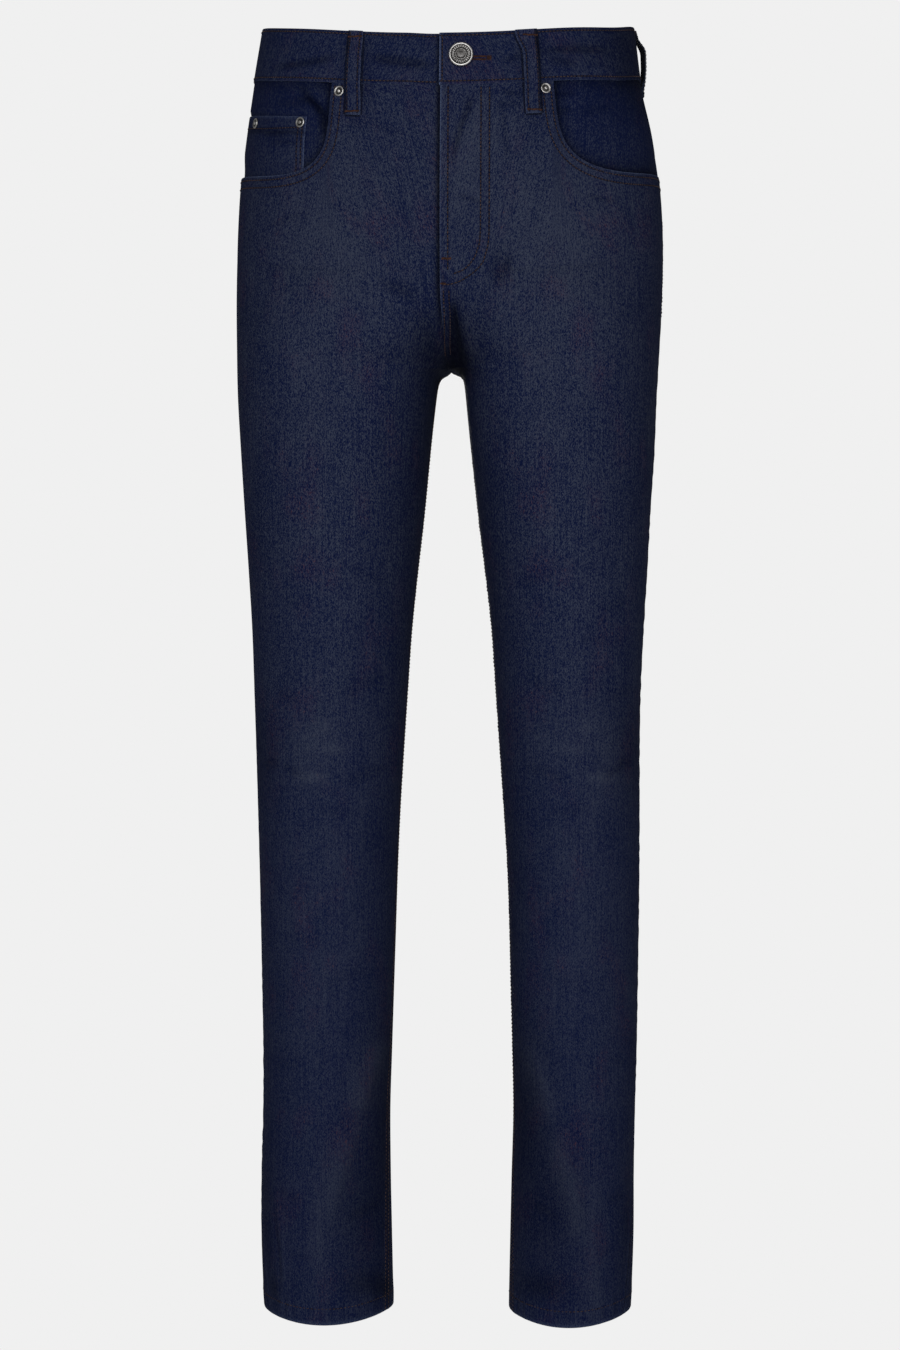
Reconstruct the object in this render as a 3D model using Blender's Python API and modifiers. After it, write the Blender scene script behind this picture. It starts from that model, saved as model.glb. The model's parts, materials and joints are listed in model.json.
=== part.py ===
"""Five-pocket jeans filled out as worn, front toward -Y, waist ring centre at the origin, legs down -Z."""

import math

import bpy
import numpy as np
from mathutils import Vector

# Cloth walls and gaps, metres
WALL = 0.0015
THIN_WALL = 0.0012
SEAM_GAP = 0.00036
BAND_GAP = 0.0005
LAYER_GAP = 0.0008
PATCH_GAP = 0.0010

# Lengths down the side seam, metres
BAND_BOTTOM = 0.043
SPLIT = 0.190
CROTCH = 0.302
HEM = 1.0417
HEM_TURN = 0.0135
HEM_EXTRA = 0.0010
HEM_DROOP = 0.0075

# Dip of the waist in front of each side seam: degrees round, half width in degrees, depth on each side
DIP_ANGLE = -28.0
DIP_WIDTH = 22.0
DIP_DEPTH = {1: 0.0042, -1: 0.0022}

# Height of the crotch point, and how tall the curve of the seat seam is in front and behind
CROTCH_Z = -0.279
FRONT_HOOK = 0.070
BACK_HOOK = 0.100

# Waistband
BAND_OUT = 0.0007
BAND_IN = 0.0015
BAND_EDGE_X = -0.0018
BAND_UNDER_X = 0.032

# Fly
FLY_EDGE_X = -0.0010
FLY_UNDER_X = 0.010
FLY_END = 0.200
SHIELD_X = (-0.008, 0.030)

# Front pockets: width of the opening along the waist seam, depth down the side seam
POCKET_CORNER_X = 0.0880
POCKET_DEPTH = 0.0790
POCKET_POWER = {1: 4.3, -1: 5.6}
POCKET_TURN = 0.42
FACING_PAST = 0.022
FACING_LAP = 0.006

# Sections down the side seam, millimetres: half widths of the outer and inner side, reach in front and behind
SECTION_COLUMNS = ("down", "right_out", "right_in", "left_in", "left_out", "front", "back")
SECTIONS = (
    (0, 152.5, 0.0, 0.0, 152.5, 107.0, 109.0),
    (43, 159.8, 0.0, 0.0, 157.8, 112.0, 116.5),
    (90, 166.8, 0.0, 0.0, 165.5, 116.0, 125.0),
    (130, 171.5, 0.0, 0.0, 171.3, 118.5, 131.0),
    (165, 173.6, 0.0, 0.0, 173.5, 118.5, 132.0),
    (220, 174.4, 1.0, 1.2, 173.0, 115.5, 128.0),
    (260, 173.8, 4.0, 5.0, 171.0, 111.5, 119.0),
    (302, 172.8, 9.0, 11.2, 168.6, 106.5, 107.0),
    (343, 170.4, 14.3, 15.9, 167.0, 102.0, 96.5),
    (392, 167.2, 20.0, 22.5, 163.8, 97.0, 86.0),
    (441, 163.8, 25.7, 29.0, 161.2, 92.0, 76.5),
    (490, 160.7, 30.6, 34.6, 158.2, 87.5, 68.0),
    (539, 158.9, 33.9, 38.0, 155.8, 83.0, 61.5),
    (588, 157.5, 37.2, 41.3, 154.9, 77.5, 59.0),
    (637, 156.5, 40.4, 44.5, 154.8, 72.5, 62.0),
    (686, 155.6, 42.8, 47.3, 154.6, 68.0, 65.5),
    (735, 154.8, 44.5, 48.8, 154.0, 64.5, 67.5),
    (784, 154.0, 46.2, 49.8, 153.2, 61.5, 67.5),
    (833, 153.2, 47.8, 51.0, 152.3, 59.5, 66.5),
    (882, 153.3, 49.2, 51.7, 150.9, 58.0, 64.5),
    (931, 154.5, 48.8, 50.4, 150.0, 57.5, 62.0),
    (980, 154.6, 47.8, 49.3, 149.8, 57.5, 61.0),
    (1042, 152.4, 46.4, 48.0, 147.6, 58.0, 60.5),
)

# Centre seams down the side seam, millimetres: height of each at the front and at the back
RISE_COLUMNS = ("down", "front_z", "back_z")
RISES = (
    (0, -20.8, 13.0),
    (43, -62.6, -30.5),
    (115, -134.0, -104.0),
    (190, -209.0, -179.0),
)

# Seams of the leg, degrees round from the outer side, toward the front where negative
SEAM_COLUMNS = ("down", "side_seam", "inseam")
SEAMS = (
    (0, 4.0, 0.0),
    (200, 3.0, 0.0),
    (330, 2.0, 0.0),
    (560, 0.0, 5.0),
    (800, -3.0, 12.0),
    (920, -8.0, 19.0),
    (1000, -19.0, 24.0),
    (1042, -27.0, 27.0),
)

# Folds: garment side, degrees round and millimetres down of both ends, half width and height in millimetres
FOLD_COLUMNS = ("side", "from_angle", "from_down", "to_angle", "to_down", "half_width", "height")
FOLDS = (
    (-1, -96, 250, -40, 222, 22, 1.3),
    (-1, -132, 300, -64, 272, 20, -1.8),
    (-1, -128, 352, -70, 330, 22, 1.4),
    (1, -98, 246, -44, 216, 22, 1.2),
    (1, -130, 296, -66, 266, 20, -1.7),
    (1, -130, 346, -66, 326, 22, 1.5),
    (-1, 60, 322, 138, 300, 14, -2.4),
    (-1, 52, 352, 140, 344, 13, 1.9),
    (1, 56, 318, 136, 304, 14, -2.2),
    (1, 60, 356, 144, 340, 13, 2.0),
    (-1, 55, 560, 125, 584, 12, 2.2),
    (-1, 48, 606, 132, 590, 12, -2.4),
    (-1, 60, 640, 128, 622, 13, 1.8),
    (1, 50, 566, 130, 578, 12, 2.0),
    (1, 56, 600, 126, 596, 12, -2.3),
    (1, 52, 634, 134, 618, 13, 2.0),
    (-1, -120, 540, -55, 528, 18, 1.3),
    (1, -118, 528, -58, 540, 18, 1.2),
    (-1, 30, 930, 140, 948, 13, 1.8),
    (-1, 40, 974, 120, 966, 12, -1.6),
    (1, 36, 944, 136, 930, 13, 1.7),
    (1, 44, 966, 124, 978, 12, -1.6),
)
FOLD_ROUND = 0.085


def table(columns, rows):
    """Named columns of a table, in metres where the table is in millimetres."""
    return {name: np.array([row[i] for row in rows], float) for i, name in enumerate(columns)}


SECTION = table(SECTION_COLUMNS, SECTIONS)
RISE = table(RISE_COLUMNS, RISES)
SEAM = table(SEAM_COLUMNS, SEAMS)
FOLD = table(FOLD_COLUMNS, FOLDS)


def column(source, name, down):
    """Smooth curve through one column, at a length down the side seam in metres."""
    xs = source["down"]
    ys = source[name]
    slopes = np.gradient(ys, xs)
    x = np.asarray(down, float) * 1000
    i = np.clip(np.searchsorted(xs, x) - 1, 0, len(xs) - 2)
    width = xs[i + 1] - xs[i]
    u = np.clip((x - xs[i]) / width, 0, 1)
    start = (2 * u**3 - 3 * u**2 + 1) * ys[i] + (u**3 - 2 * u**2 + u) * width * slopes[i]
    end = (3 * u**2 - 2 * u**3) * ys[i + 1] + (u**3 - u**2) * width * slopes[i + 1]
    return start + end


def eased(u):
    """Zero to one with level ends."""
    u = np.clip(u, 0, 1)
    return u * u * (3 - 2 * u)


def opening(down):
    """How far the section has closed from a half oval into the ring of one leg, in radians."""
    return math.pi / 2 * np.clip((down - SPLIT) / (CROTCH - SPLIT), 0, 1)


def roundness(down):
    """Power of the oval: below one is squarer."""
    return 0.87 + 0.13 * eased((down - 0.22) / 0.25)


def end_height(down, name, hook):
    """Height of the inner end of a section: the centre seam, then the inseam."""
    straight = column(RISE, name, np.minimum(down, SPLIT)) / 1000
    hooked = CROTCH_Z + hook * (1 - np.sin(opening(down)))
    lag = (CROTCH + CROTCH_Z) * (1 - eased((down - CROTCH) / 0.12))
    leg = lag - down
    return np.where(down <= SPLIT, straight, np.where(down <= CROTCH, hooked, leg))


def section(side, down):
    """Half oval or leg ring: its middle, its half width and the widening just under the crotch."""
    out = np.where(side > 0, column(SECTION, "left_out", down), column(SECTION, "right_out", down)) / 1000
    inner = np.where(side > 0, column(SECTION, "left_in", down), column(SECTION, "right_in", down)) / 1000
    below = np.maximum(down - CROTCH, 0)
    ring_in = inner * eased(below / 0.10)
    widening = (inner - ring_in) * (1 - np.exp(-below / 0.003))
    share = np.sin(opening(down)) ** roundness(down)
    torso_half = out / (1 + share)
    is_leg = down >= CROTCH
    half = np.where(is_leg, (out - ring_in) / 2, torso_half)
    middle = np.where(is_leg, (out + ring_in) / 2, torso_half * share)
    return middle, half, widening


def base(side, angle, down):
    """Point of the bare outer surface; past a centre seam it goes on to the other half."""
    reach = math.pi / 2 + opening(down)
    crossed = (down < CROTCH) & (np.abs(angle) > reach)
    angle = np.where(crossed, np.sign(angle) * 2 * reach - angle, angle)
    side = np.where(crossed, -side, side)
    middle, half, widening = section(side, down)
    power = roundness(down)
    cos = np.cos(angle)
    sin = np.sin(angle)
    x = middle + half * np.sign(cos) * np.abs(cos) ** power + widening * ((1 - cos) / 2) ** 8
    front = column(SECTION, "front", down) / 1000
    back = column(SECTION, "back", down) / 1000
    y = (back - front) / 2 + (back + front) / 2 * np.sign(sin) * np.abs(sin) ** power
    ends = np.where(
        angle < 0,
        end_height(down, "front_z", FRONT_HOOK),
        end_height(down, "back_z", BACK_HOOK),
    )
    droop = HEM_DROOP * eased((down - 0.90) / 0.14) * sin**2
    dip = np.where(side > 0, DIP_DEPTH[1], DIP_DEPTH[-1]) * eased((0.15 - down) / 0.10)
    dip = dip * np.exp(-(((np.degrees(angle) - DIP_ANGLE) / DIP_WIDTH) ** 2))
    z = (ends + down) * 0.5 * (1 - np.cos(math.pi * angle / reach)) - down - droop - dip
    return np.stack(np.broadcast_arrays(side * x, y, z), axis=-1)


def normal(side, angle, down):
    """Outward direction of the bare surface."""
    step_angle = 0.02
    step_down = 0.002
    around = base(side, angle + step_angle, down) - base(side, angle - step_angle, down)
    along = base(side, angle, down + step_down) - base(side, angle, down - step_down)
    out = np.cross(along, around) * np.asarray(side)[..., None]
    return out / np.maximum(np.linalg.norm(out, axis=-1, keepdims=True), 1e-12)


def folds(side, angle, down):
    """Height of the large soft folds over the bare surface."""
    total = np.zeros(np.broadcast(side, angle, down).shape)
    for i in range(len(FOLDS)):
        start = np.array([math.radians(FOLD["from_angle"][i]) * FOLD_ROUND, FOLD["from_down"][i] / 1000])
        end = np.array([math.radians(FOLD["to_angle"][i]) * FOLD_ROUND, FOLD["to_down"][i] / 1000])
        run = end - start
        across = angle * FOLD_ROUND - start[0]
        below = down - start[1]
        along = np.clip((across * run[0] + below * run[1]) / (run @ run), 0, 1)
        gap = np.hypot(across - along * run[0], below - along * run[1])
        body = np.exp(-((gap * 1000 / FOLD["half_width"][i]) ** 2))
        faded = eased(along / 0.35) * eased((1 - along) / 0.35)
        total = total + FOLD["height"][i] / 1000 * body * faded * (np.asarray(side) == FOLD["side"][i])
    return total


def cloth(side, angle, down, out):
    """Point at a distance outside the folded surface."""
    side, angle, down, out = np.broadcast_arrays(side, angle, down, out)
    lift = out + folds(side, angle, down)
    return base(side, angle, down) + normal(side, angle, down) * lift[..., None]


def nudged(side, angle, down, distance):
    """Angle moved by a distance along the cloth."""
    step = 0.01
    span = np.linalg.norm(base(side, angle + step, down) - base(side, angle - step, down), axis=-1)
    return angle + distance * 2 * step / np.maximum(span, 1e-5)


def angle_at(side, x, down):
    """Angle on the front of the torso of the point at this x, also a little past the centre seam."""
    crossed = side * x < 0
    middle, half, _ = section(np.where(crossed, -side, side), down)
    q = (np.abs(x) - middle) / half
    angle = -np.arccos(np.clip(np.sign(q) * np.abs(q) ** (1 / roundness(down)), -1, 1))
    return np.where(crossed, -2 * (math.pi / 2 + opening(down)) - angle, angle)


def behind_at(side, x, down):
    """Angle on the back of the torso of the point at this x."""
    middle, half, _ = section(side, down)
    q = (np.abs(x) - middle) / half
    return np.arccos(np.clip(np.sign(q) * np.abs(q) ** (1 / roundness(down)), -1, 1))


def side_seam(down):
    return np.radians(column(SEAM, "side_seam", down))


def front_end(down):
    """Angle of the centre front seam, then of the inseam reached from the front."""
    return np.where(down < CROTCH, -math.pi / 2 - opening(down), -math.pi + np.radians(column(SEAM, "inseam", down)))


def back_end(down):
    """Angle of the centre back seam, then of the inseam reached from the back."""
    return np.where(down < CROTCH, math.pi / 2 + opening(down), math.pi + np.radians(column(SEAM, "inseam", down)))


def material(name, colour, roughness, metallic=0.0):
    made = bpy.data.materials.new(name)
    made.use_nodes = True
    shader = made.node_tree.nodes["Principled BSDF"]
    shader.inputs["Base Color"].default_value = (*colour, 1)
    shader.inputs["Roughness"].default_value = roughness
    shader.inputs["Metallic"].default_value = metallic
    return made


def finished(name, points, faces, colour, smooth=True):
    """Object of one closed body in the garment's collection."""
    mesh = bpy.data.meshes.new(name)
    mesh.from_pydata([tuple(point) for point in points], [], [tuple(face) for face in faces])
    mesh.materials.append(colour)
    mesh.validate()
    for polygon in mesh.polygons:
        polygon.use_smooth = smooth
    made = bpy.data.objects.new(name, mesh)
    jeans.objects.link(made)
    return made


def walled(name, side, angles, downs, outers, inners, colour):
    """Closed cloth wall over a grid of angles and lengths down, between two distances from the surface."""
    angles, downs, outers, inners = np.broadcast_arrays(angles, downs, outers, inners)
    rows, columns = angles.shape
    outer = cloth(side, angles, downs, outers).reshape(-1, 3)
    inner = cloth(side, angles, downs, inners).reshape(-1, 3)
    apart = (downs.reshape(-1) > CROTCH - 0.056) & (side * outer[:, 0] < SEAM_GAP / 2)
    outer[apart, 0] = side * SEAM_GAP / 2
    apart = (downs.reshape(-1) > CROTCH - 0.056) & (side * inner[:, 0] < SEAM_GAP / 2)
    inner[apart, 0] = side * SEAM_GAP / 2
    count = rows * columns
    faces = []
    for r in range(rows - 1):
        for c in range(columns - 1):
            a = r * columns + c
            quad = (a, a + columns, a + columns + 1, a + 1)
            faces.append(quad if side > 0 else quad[::-1])
            back = tuple(count + i for i in quad[::-1])
            faces.append(back if side > 0 else back[::-1])
    rim = [c for c in range(columns)]
    rim += [r * columns + columns - 1 for r in range(1, rows)]
    rim += [(rows - 1) * columns + c for c in range(columns - 2, -1, -1)]
    rim += [r * columns for r in range(rows - 2, 0, -1)]
    for a, b in zip(rim, rim[1:] + rim[:1]):
        quad = (a, b, b + count, a + count)
        faces.append(quad if side > 0 else quad[::-1])
    return finished(name, np.vstack([outer, inner]), faces, colour)


def hem_depth(down):
    """Distance in from the surface of a leg panel's inner face, more where the hem is turned up."""
    return -(WALL + HEM_EXTRA * eased((down - (HEM - HEM_TURN - 0.0015)) / 0.0015))


def leg_rows():
    """Lengths down of the rows from the join with the seat to the hem."""
    seat = np.linspace(0.207, CROTCH, 8)
    under = np.array([0.3045, 0.3085, 0.3155, 0.326, 0.341])
    leg = np.linspace(0.362, HEM - HEM_TURN - 0.0015, 20)
    hem = np.array([HEM - HEM_TURN, HEM - 0.004, HEM])
    return np.concatenate([seat, under, leg, hem])


def pocket_edge(side, u):
    """Angle and length down along the pocket opening, evenly from the waist seam to the side seam."""
    turn = np.linspace(0, math.pi / 2, 161)
    share = np.cos(turn) ** (2 / POCKET_POWER[side])
    down = BAND_BOTTOM + BAND_GAP + POCKET_DEPTH * np.sin(turn) ** (2 / POCKET_POWER[side])
    corner = angle_at(side, side * POCKET_CORNER_X, BAND_BOTTOM)
    edge = side_seam(down)
    angle = edge + (corner - edge) * share
    steps = np.linalg.norm(np.diff(base(side, angle, down), axis=0), axis=1)
    length = np.concatenate([[0.0], np.cumsum(steps)])
    return np.interp(u * length[-1], length, angle), np.interp(u * length[-1], length, down)


def fanned(waist, u, corner, merge):
    """Shares across the panel under the pocket: columns from the opening's steep part stay inside its corner."""
    first = (corner - math.radians(6) - front_end(merge)) / (side_seam(merge) - front_end(merge))
    turned_share = 0.10 * np.minimum(u / POCKET_TURN, 1) + 0.90 * np.maximum(u - POCKET_TURN, 0) / (1 - POCKET_TURN)
    return np.concatenate([first * waist, first + (1 - first) * turned_share])


def front_panel(name, side, colour):
    """Front leg panel, cut away at the pocket and lapped at the fly."""
    waist_columns = 6
    pocket_columns = 9
    top_rows = 9
    merge = 0.195
    top = BAND_BOTTOM + BAND_GAP
    waist = np.linspace(0, 1, waist_columns + 1)
    corner, _ = pocket_edge(side, np.array(0.0))
    end = front_end(top)
    u = np.linspace(0, 1, pocket_columns + 1)[1:]
    curve_angle, curve_down = pocket_edge(side, u)
    top_angle = np.concatenate([end + (corner - end) * waist, curve_angle])
    top_down = np.concatenate([np.full(waist_columns + 1, top), curve_down])
    across = np.linspace(0, 1, len(top_angle)) ** 0.92
    gathered = fanned(waist, u, corner, merge)
    merge_angle = front_end(merge) + (side_seam(merge) - front_end(merge)) * gathered
    rows = []
    for v in np.linspace(0, 1, top_rows):
        rows.append((top_angle + (merge_angle - top_angle) * v, top_down + (merge - top_down) * v))
    for down in leg_rows():
        start = front_end(down)
        shares = gathered + (across - gathered) * eased((down - merge) / (CROTCH - merge))
        rows.append((start + (side_seam(down) - start) * shares, np.full(len(across), down)))
    angles = np.array([row[0] for row in rows])
    downs = np.array([row[1] for row in rows])
    angles[:, -1] = nudged(side, side_seam(downs[:, -1]), downs[:, -1], -SEAM_GAP / 2)
    outers = np.zeros(angles.shape)
    fly = downs[:, 0] < CROTCH
    ends = downs[:, 0]
    edge_x = FLY_EDGE_X * (1 - eased((ends - FLY_END) / 0.045))
    if side > 0:
        angles[:, 0] = np.where(fly, angle_at(side, edge_x + SEAM_GAP / 2, ends), angles[:, 0])
    else:
        under = 1 - eased((ends - (FLY_END - 0.022)) / 0.016)
        lap_x = edge_x - SEAM_GAP / 2 + (FLY_UNDER_X - edge_x) * under
        angles[:, 0] = np.where(fly, angle_at(side, lap_x, ends), angles[:, 0])
        for i, x in ((1, -0.0025), (2, -0.0100), (3, -0.0180)):
            lap = 1 - eased((ends - FLY_END) / 0.03)
            wanted = angle_at(side, np.full(len(ends), x), ends)
            angles[:, i] = np.where(fly, angles[:, i] + (wanted - angles[:, i]) * lap, angles[:, i])
        depth = (WALL + LAYER_GAP) * (1 - eased((ends - (FLY_END - 0.006)) / 0.03))
        outers[:, 0] = -depth
        outers[:, 1] = -depth
        outers[:, 2] = -depth / 2
    leg_end = ~fly
    angles[leg_end, 0] = nudged(side, angles[leg_end, 0], ends[leg_end], SEAM_GAP / 2)
    return walled(name, side, angles, downs, outers, outers + hem_depth(downs), colour)


def yoke_seam(side, share):
    """Length down of the yoke's lower seam, from the side seam to the centre back."""
    return 0.080 + 0.034 * share


def back_panel(name, side, colour):
    """Back leg panel under the yoke."""
    columns = 15
    top_rows = 8
    merge = 0.195
    across = np.linspace(0, 1, columns)
    top = yoke_seam(side, across) + SEAM_GAP
    rows = []
    for v in np.linspace(0, 1, top_rows):
        down = top + (merge - top) * v
        rows.append((side_seam(down) + (back_end(down) - side_seam(down)) * across, down))
    for down in leg_rows():
        start = side_seam(down)
        rows.append((start + (back_end(down) - start) * across, np.full(columns, down)))
    angles = np.array([row[0] for row in rows])
    downs = np.array([row[1] for row in rows])
    angles[:, 0] = nudged(side, angles[:, 0], downs[:, 0], SEAM_GAP / 2)
    angles[:, -1] = nudged(side, angles[:, -1], downs[:, -1], -SEAM_GAP / 2)
    return walled(name, side, angles, downs, 0.0, hem_depth(downs), colour)


def yoke(name, side, colour):
    """Shaped piece between the waistband and the back panel."""
    columns = 15
    across = np.linspace(0, 1, columns)
    rows = []
    for v in np.linspace(0, 1, 5):
        top = BAND_BOTTOM + BAND_GAP
        down = top + (yoke_seam(side, across) - top) * v
        rows.append((side_seam(down) + (back_end(down) - side_seam(down)) * across, down))
    angles = np.array([row[0] for row in rows])
    downs = np.array([row[1] for row in rows])
    angles[:, 0] = nudged(side, angles[:, 0], downs[:, 0], SEAM_GAP / 2)
    angles[:, -1] = nudged(side, angles[:, -1], downs[:, -1], -SEAM_GAP / 2)
    return walled(name, side, angles, downs, 0.0, -WALL, colour)


def waistband(name, colour):
    """Band all the way round, its ends lapped at the centre front."""
    start = angle_at(1, BAND_EDGE_X, BAND_BOTTOM / 2)
    lap = angle_at(1, BAND_UNDER_X, BAND_BOTTOM / 2) + 2 * math.pi
    tail_x = np.array([-0.030, -0.022, -0.014, -0.004, 0.008, 0.020])
    tail = 2 * math.pi + np.array([angle_at(1, x, BAND_BOTTOM / 2) for x in tail_x])
    ring = np.linspace(start, tail[0], 42)
    turns = np.concatenate([ring, tail[1:], [lap]])
    crossed = turns > math.pi / 2
    side = np.where(crossed, -1, 1)
    mirrored = math.pi - turns
    past = turns > 3 * math.pi / 2
    side = np.where(past, 1, side)
    angle = np.where(past, turns - 2 * math.pi, np.where(crossed, mirrored, turns))
    downs = np.array([0.0, 0.0145, 0.0290, BAND_BOTTOM])[:, None]
    sunk = (BAND_OUT + BAND_IN + LAYER_GAP) * eased((np.arange(len(turns)) - (len(ring) - 1)) / 3)
    outer = []
    inner = []
    for k in range(len(turns)):
        line = cloth(side[k], angle[k], downs[:, 0], BAND_OUT - sunk[k])
        back = cloth(side[k], angle[k], downs[:, 0], -BAND_IN - sunk[k])
        outer.append(line)
        inner.append(back)
    rows = len(turns)
    columns = downs.shape[0]
    count = rows * columns
    faces = []
    for r in range(rows - 1):
        for c in range(columns - 1):
            a = r * columns + c
            quad = (a, a + 1, a + columns + 1, a + columns)
            faces.append(quad)
            faces.append(tuple(count + i for i in quad[::-1]))
    rim = [r * columns for r in range(rows)]
    rim += [(rows - 1) * columns + c for c in range(1, columns)]
    rim += [r * columns + columns - 1 for r in range(rows - 2, -1, -1)]
    rim += list(range(columns - 2, 0, -1))
    for a, b in zip(rim, rim[1:] + rim[:1]):
        faces.append((a, b, b + count, a + count))
    points = np.vstack([np.array(outer).reshape(-1, 3), np.array(inner).reshape(-1, 3)])
    return finished(name, points, faces, colour)


def facing(name, side, depth, colour):
    """Piece behind a front pocket's opening, out to the side seam."""
    columns = 14
    rows = 9
    top = BAND_BOTTOM + BAND_GAP
    downs = np.linspace(top, top + POCKET_DEPTH + FACING_PAST, rows)
    inner_edge = angle_at(side, side * (POCKET_CORNER_X - FACING_PAST), BAND_BOTTOM)
    share = np.linspace(0, 1, columns)[None, :]
    outer_edge = nudged(side, side_seam(downs), downs, FACING_LAP)[:, None]
    angles = inner_edge + (outer_edge - inner_edge) * share
    return walled(name, side, angles, downs[:, None], -depth, -depth - THIN_WALL, colour)


def coin_pocket(name, side, colour):
    """Small pocket on the facing, its lower end behind the front panel."""
    top = 0.0713
    downs = np.linspace(top, top + 0.066, 7)[:, None]
    right = nudged(side, side_seam(downs), downs, -0.006)
    left = angle_at(side, side * 0.1093, 0.075)
    angles = left + (right - left) * np.linspace(0, 1, 10)[None, :]
    out = -(WALL + LAYER_GAP + 0.0002)
    return walled(name, side, angles, downs, out, out - 0.0010, colour)


def fly_shield(name, colour):
    """Guard behind the closed fly."""
    downs = np.linspace(BAND_BOTTOM + BAND_GAP, FLY_END - 0.004, 9)
    xs = np.linspace(SHIELD_X[0], SHIELD_X[1], 6)
    angles = np.array([[angle_at(1, x, down) for x in xs] for down in downs])
    depth = 2 * (WALL + LAYER_GAP) + 0.0003
    return walled(name, 1, angles, downs[:, None], -depth, -depth - THIN_WALL, colour)


def back_pocket(name, side, colour):
    """Five-sided patch pocket on the seat."""
    columns = np.linspace(-1, 1, 13)
    rows = np.linspace(0, 1, 12)
    span = 0.132 + 0.018 * (1 - np.abs(columns))
    angles = []
    downs = []
    for v in rows:
        middle = 0.090 - 0.006 * v
        half = 0.062 - 0.009 * v
        down = 0.116 - 0.006 * columns + v * span
        angles.append(behind_at(side, side * (middle - columns * half), down))
        downs.append(down)
    out = PATCH_GAP + THIN_WALL
    return walled(name, side, np.array(angles), np.array(downs), out, PATCH_GAP, colour)


def belt_loop(name, side, angle, half_width, bow, colour, last=0.0685):
    """Folded strip tacked above and below the waistband, standing off between."""
    downs = np.linspace(-0.0002, last, 12)
    step = 0.01
    span = np.linalg.norm(base(side, angle + step, 0.03) - base(side, angle - step, 0.03)) / (2 * step)
    across = np.linspace(-1, 1, 3) * half_width / span
    rest = BAND_OUT + LAYER_GAP - (BAND_OUT * eased((downs - BAND_BOTTOM - 0.001) / 0.006))
    stand = bow * eased((downs - 0.007) / 0.014) * eased((last - 0.008 - downs) / 0.016)
    inner = (rest + stand)[:, None]
    angles = (angle + across)[None, :]
    return walled(name, side, angles, np.maximum(downs, 0.0)[:, None] + 0 * angles, inner + 0.0014, inner, colour)


def turned(name, profile, side, angle, down, out, colour, steps=24):
    """Body turned about the outward direction of the cloth, from a profile of radius and height."""
    mesh = bpy.data.meshes.new(name)
    edges = [(i, i + 1) for i in range(len(profile) - 1)]
    mesh.from_pydata([(radius, 0.0, height) for radius, height in profile], edges, [])
    mesh.materials.append(colour)
    made = bpy.data.objects.new(name, mesh)
    jeans.objects.link(made)
    screw = made.modifiers.new("turn", "SCREW")
    screw.steps = steps
    screw.render_steps = steps
    screw.use_merge_vertices = True
    screw.merge_threshold = 0.00001
    screw.use_normal_calculate = True
    angle = np.array(angle)
    down = np.array(down)
    made.location = Vector(cloth(side, angle, down, out))
    made.rotation_mode = "QUATERNION"
    made.rotation_quaternion = Vector(normal(side, angle, down)).to_track_quat("Z", "Y")
    return made


def main():
    """Every sewn piece and each metal part."""
    denim = material("indigo_denim", (0.020, 0.026, 0.058), 0.85)
    band = material("band_denim", (0.018, 0.024, 0.055), 0.85)
    pocket = material("pocket_denim", (0.016, 0.022, 0.050), 0.85)
    metal = material("antique_nickel", (0.42, 0.41, 0.40), 0.35, 1.0)

    front_panel("front_left", 1, denim)
    front_panel("front_right", -1, denim)
    back_panel("back_left", 1, denim)
    back_panel("back_right", -1, denim)
    yoke("yoke_left", 1, denim)
    yoke("yoke_right", -1, denim)
    waistband("waistband", band)
    fly_shield("fly_shield", band)
    facing("pocket_facing_left", 1, WALL + LAYER_GAP + 0.0004, pocket)
    facing("pocket_facing_right", -1, WALL + 2 * LAYER_GAP + 0.0012, pocket)
    coin_pocket("coin_pocket", -1, pocket)
    back_pocket("back_pocket_left", 1, denim)
    back_pocket("back_pocket_right", -1, denim)

    loop_half = 0.00625
    front_loop = angle_at(1, 0.0700, 0.03)
    belt_loop("belt_loop_front_left", 1, float(front_loop), loop_half, 0.0022, denim)
    belt_loop("belt_loop_front_right", -1, float(front_loop), loop_half, 0.0022, denim)
    belt_loop("belt_loop_side_left", 1, math.radians(5.5), loop_half, 0.0031, denim, 0.0535)
    belt_loop("belt_loop_side_right", -1, math.radians(15.0), loop_half, 0.0022, denim, 0.0535)
    belt_loop("belt_loop_back", 1, math.pi / 2, loop_half, 0.0026, denim, 0.0535)

    button_angle = float(angle_at(1, 0.0152, 0.02))
    button = (
        (0.0, 0.0), (0.0042, 0.0), (0.0042, 0.0010), (0.0092, 0.0012), (0.0098, 0.0022),
        (0.0092, 0.0032), (0.0080, 0.0033), (0.0072, 0.0026), (0.0048, 0.0026), (0.0040, 0.0033), (0.0, 0.0030),
    )
    turned("waist_button", button, 1, button_angle, 0.0190, BAND_OUT + 0.0003, metal)
    rivet = ((0.0, 0.0), (0.0041, 0.0), (0.0042, 0.0006), (0.0034, 0.0011), (0.0024, 0.0007), (0.0014, 0.0008), (0.0, 0.0016))
    seat = 0.0003
    for name, side, x, down in (("rivet_pocket_left", 1, 0.0815, 0.0488), ("rivet_pocket_right", -1, 0.0817, 0.0498)):
        turned(name, rivet, side, float(angle_at(side, side * x, down)), down, seat, metal, 16)
    coin_out = -(WALL + LAYER_GAP + 0.0002) + seat
    for name, x, down in (("rivet_coin_outer", -0.1540, 0.0777), ("rivet_coin_inner", -0.1138, 0.0761)):
        turned(name, rivet, -1, float(angle_at(-1, x, down)), down, coin_out, metal, 16)


for leftover in list(bpy.data.objects):
    bpy.data.objects.remove(leftover, do_unlink=True)
jeans = bpy.data.collections.new("jeans")
bpy.context.scene.collection.children.link(jeans)
main()
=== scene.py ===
"""Worn-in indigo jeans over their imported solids: cloth shells, sewing, metal parts and a studio."""

import json
import math

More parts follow.
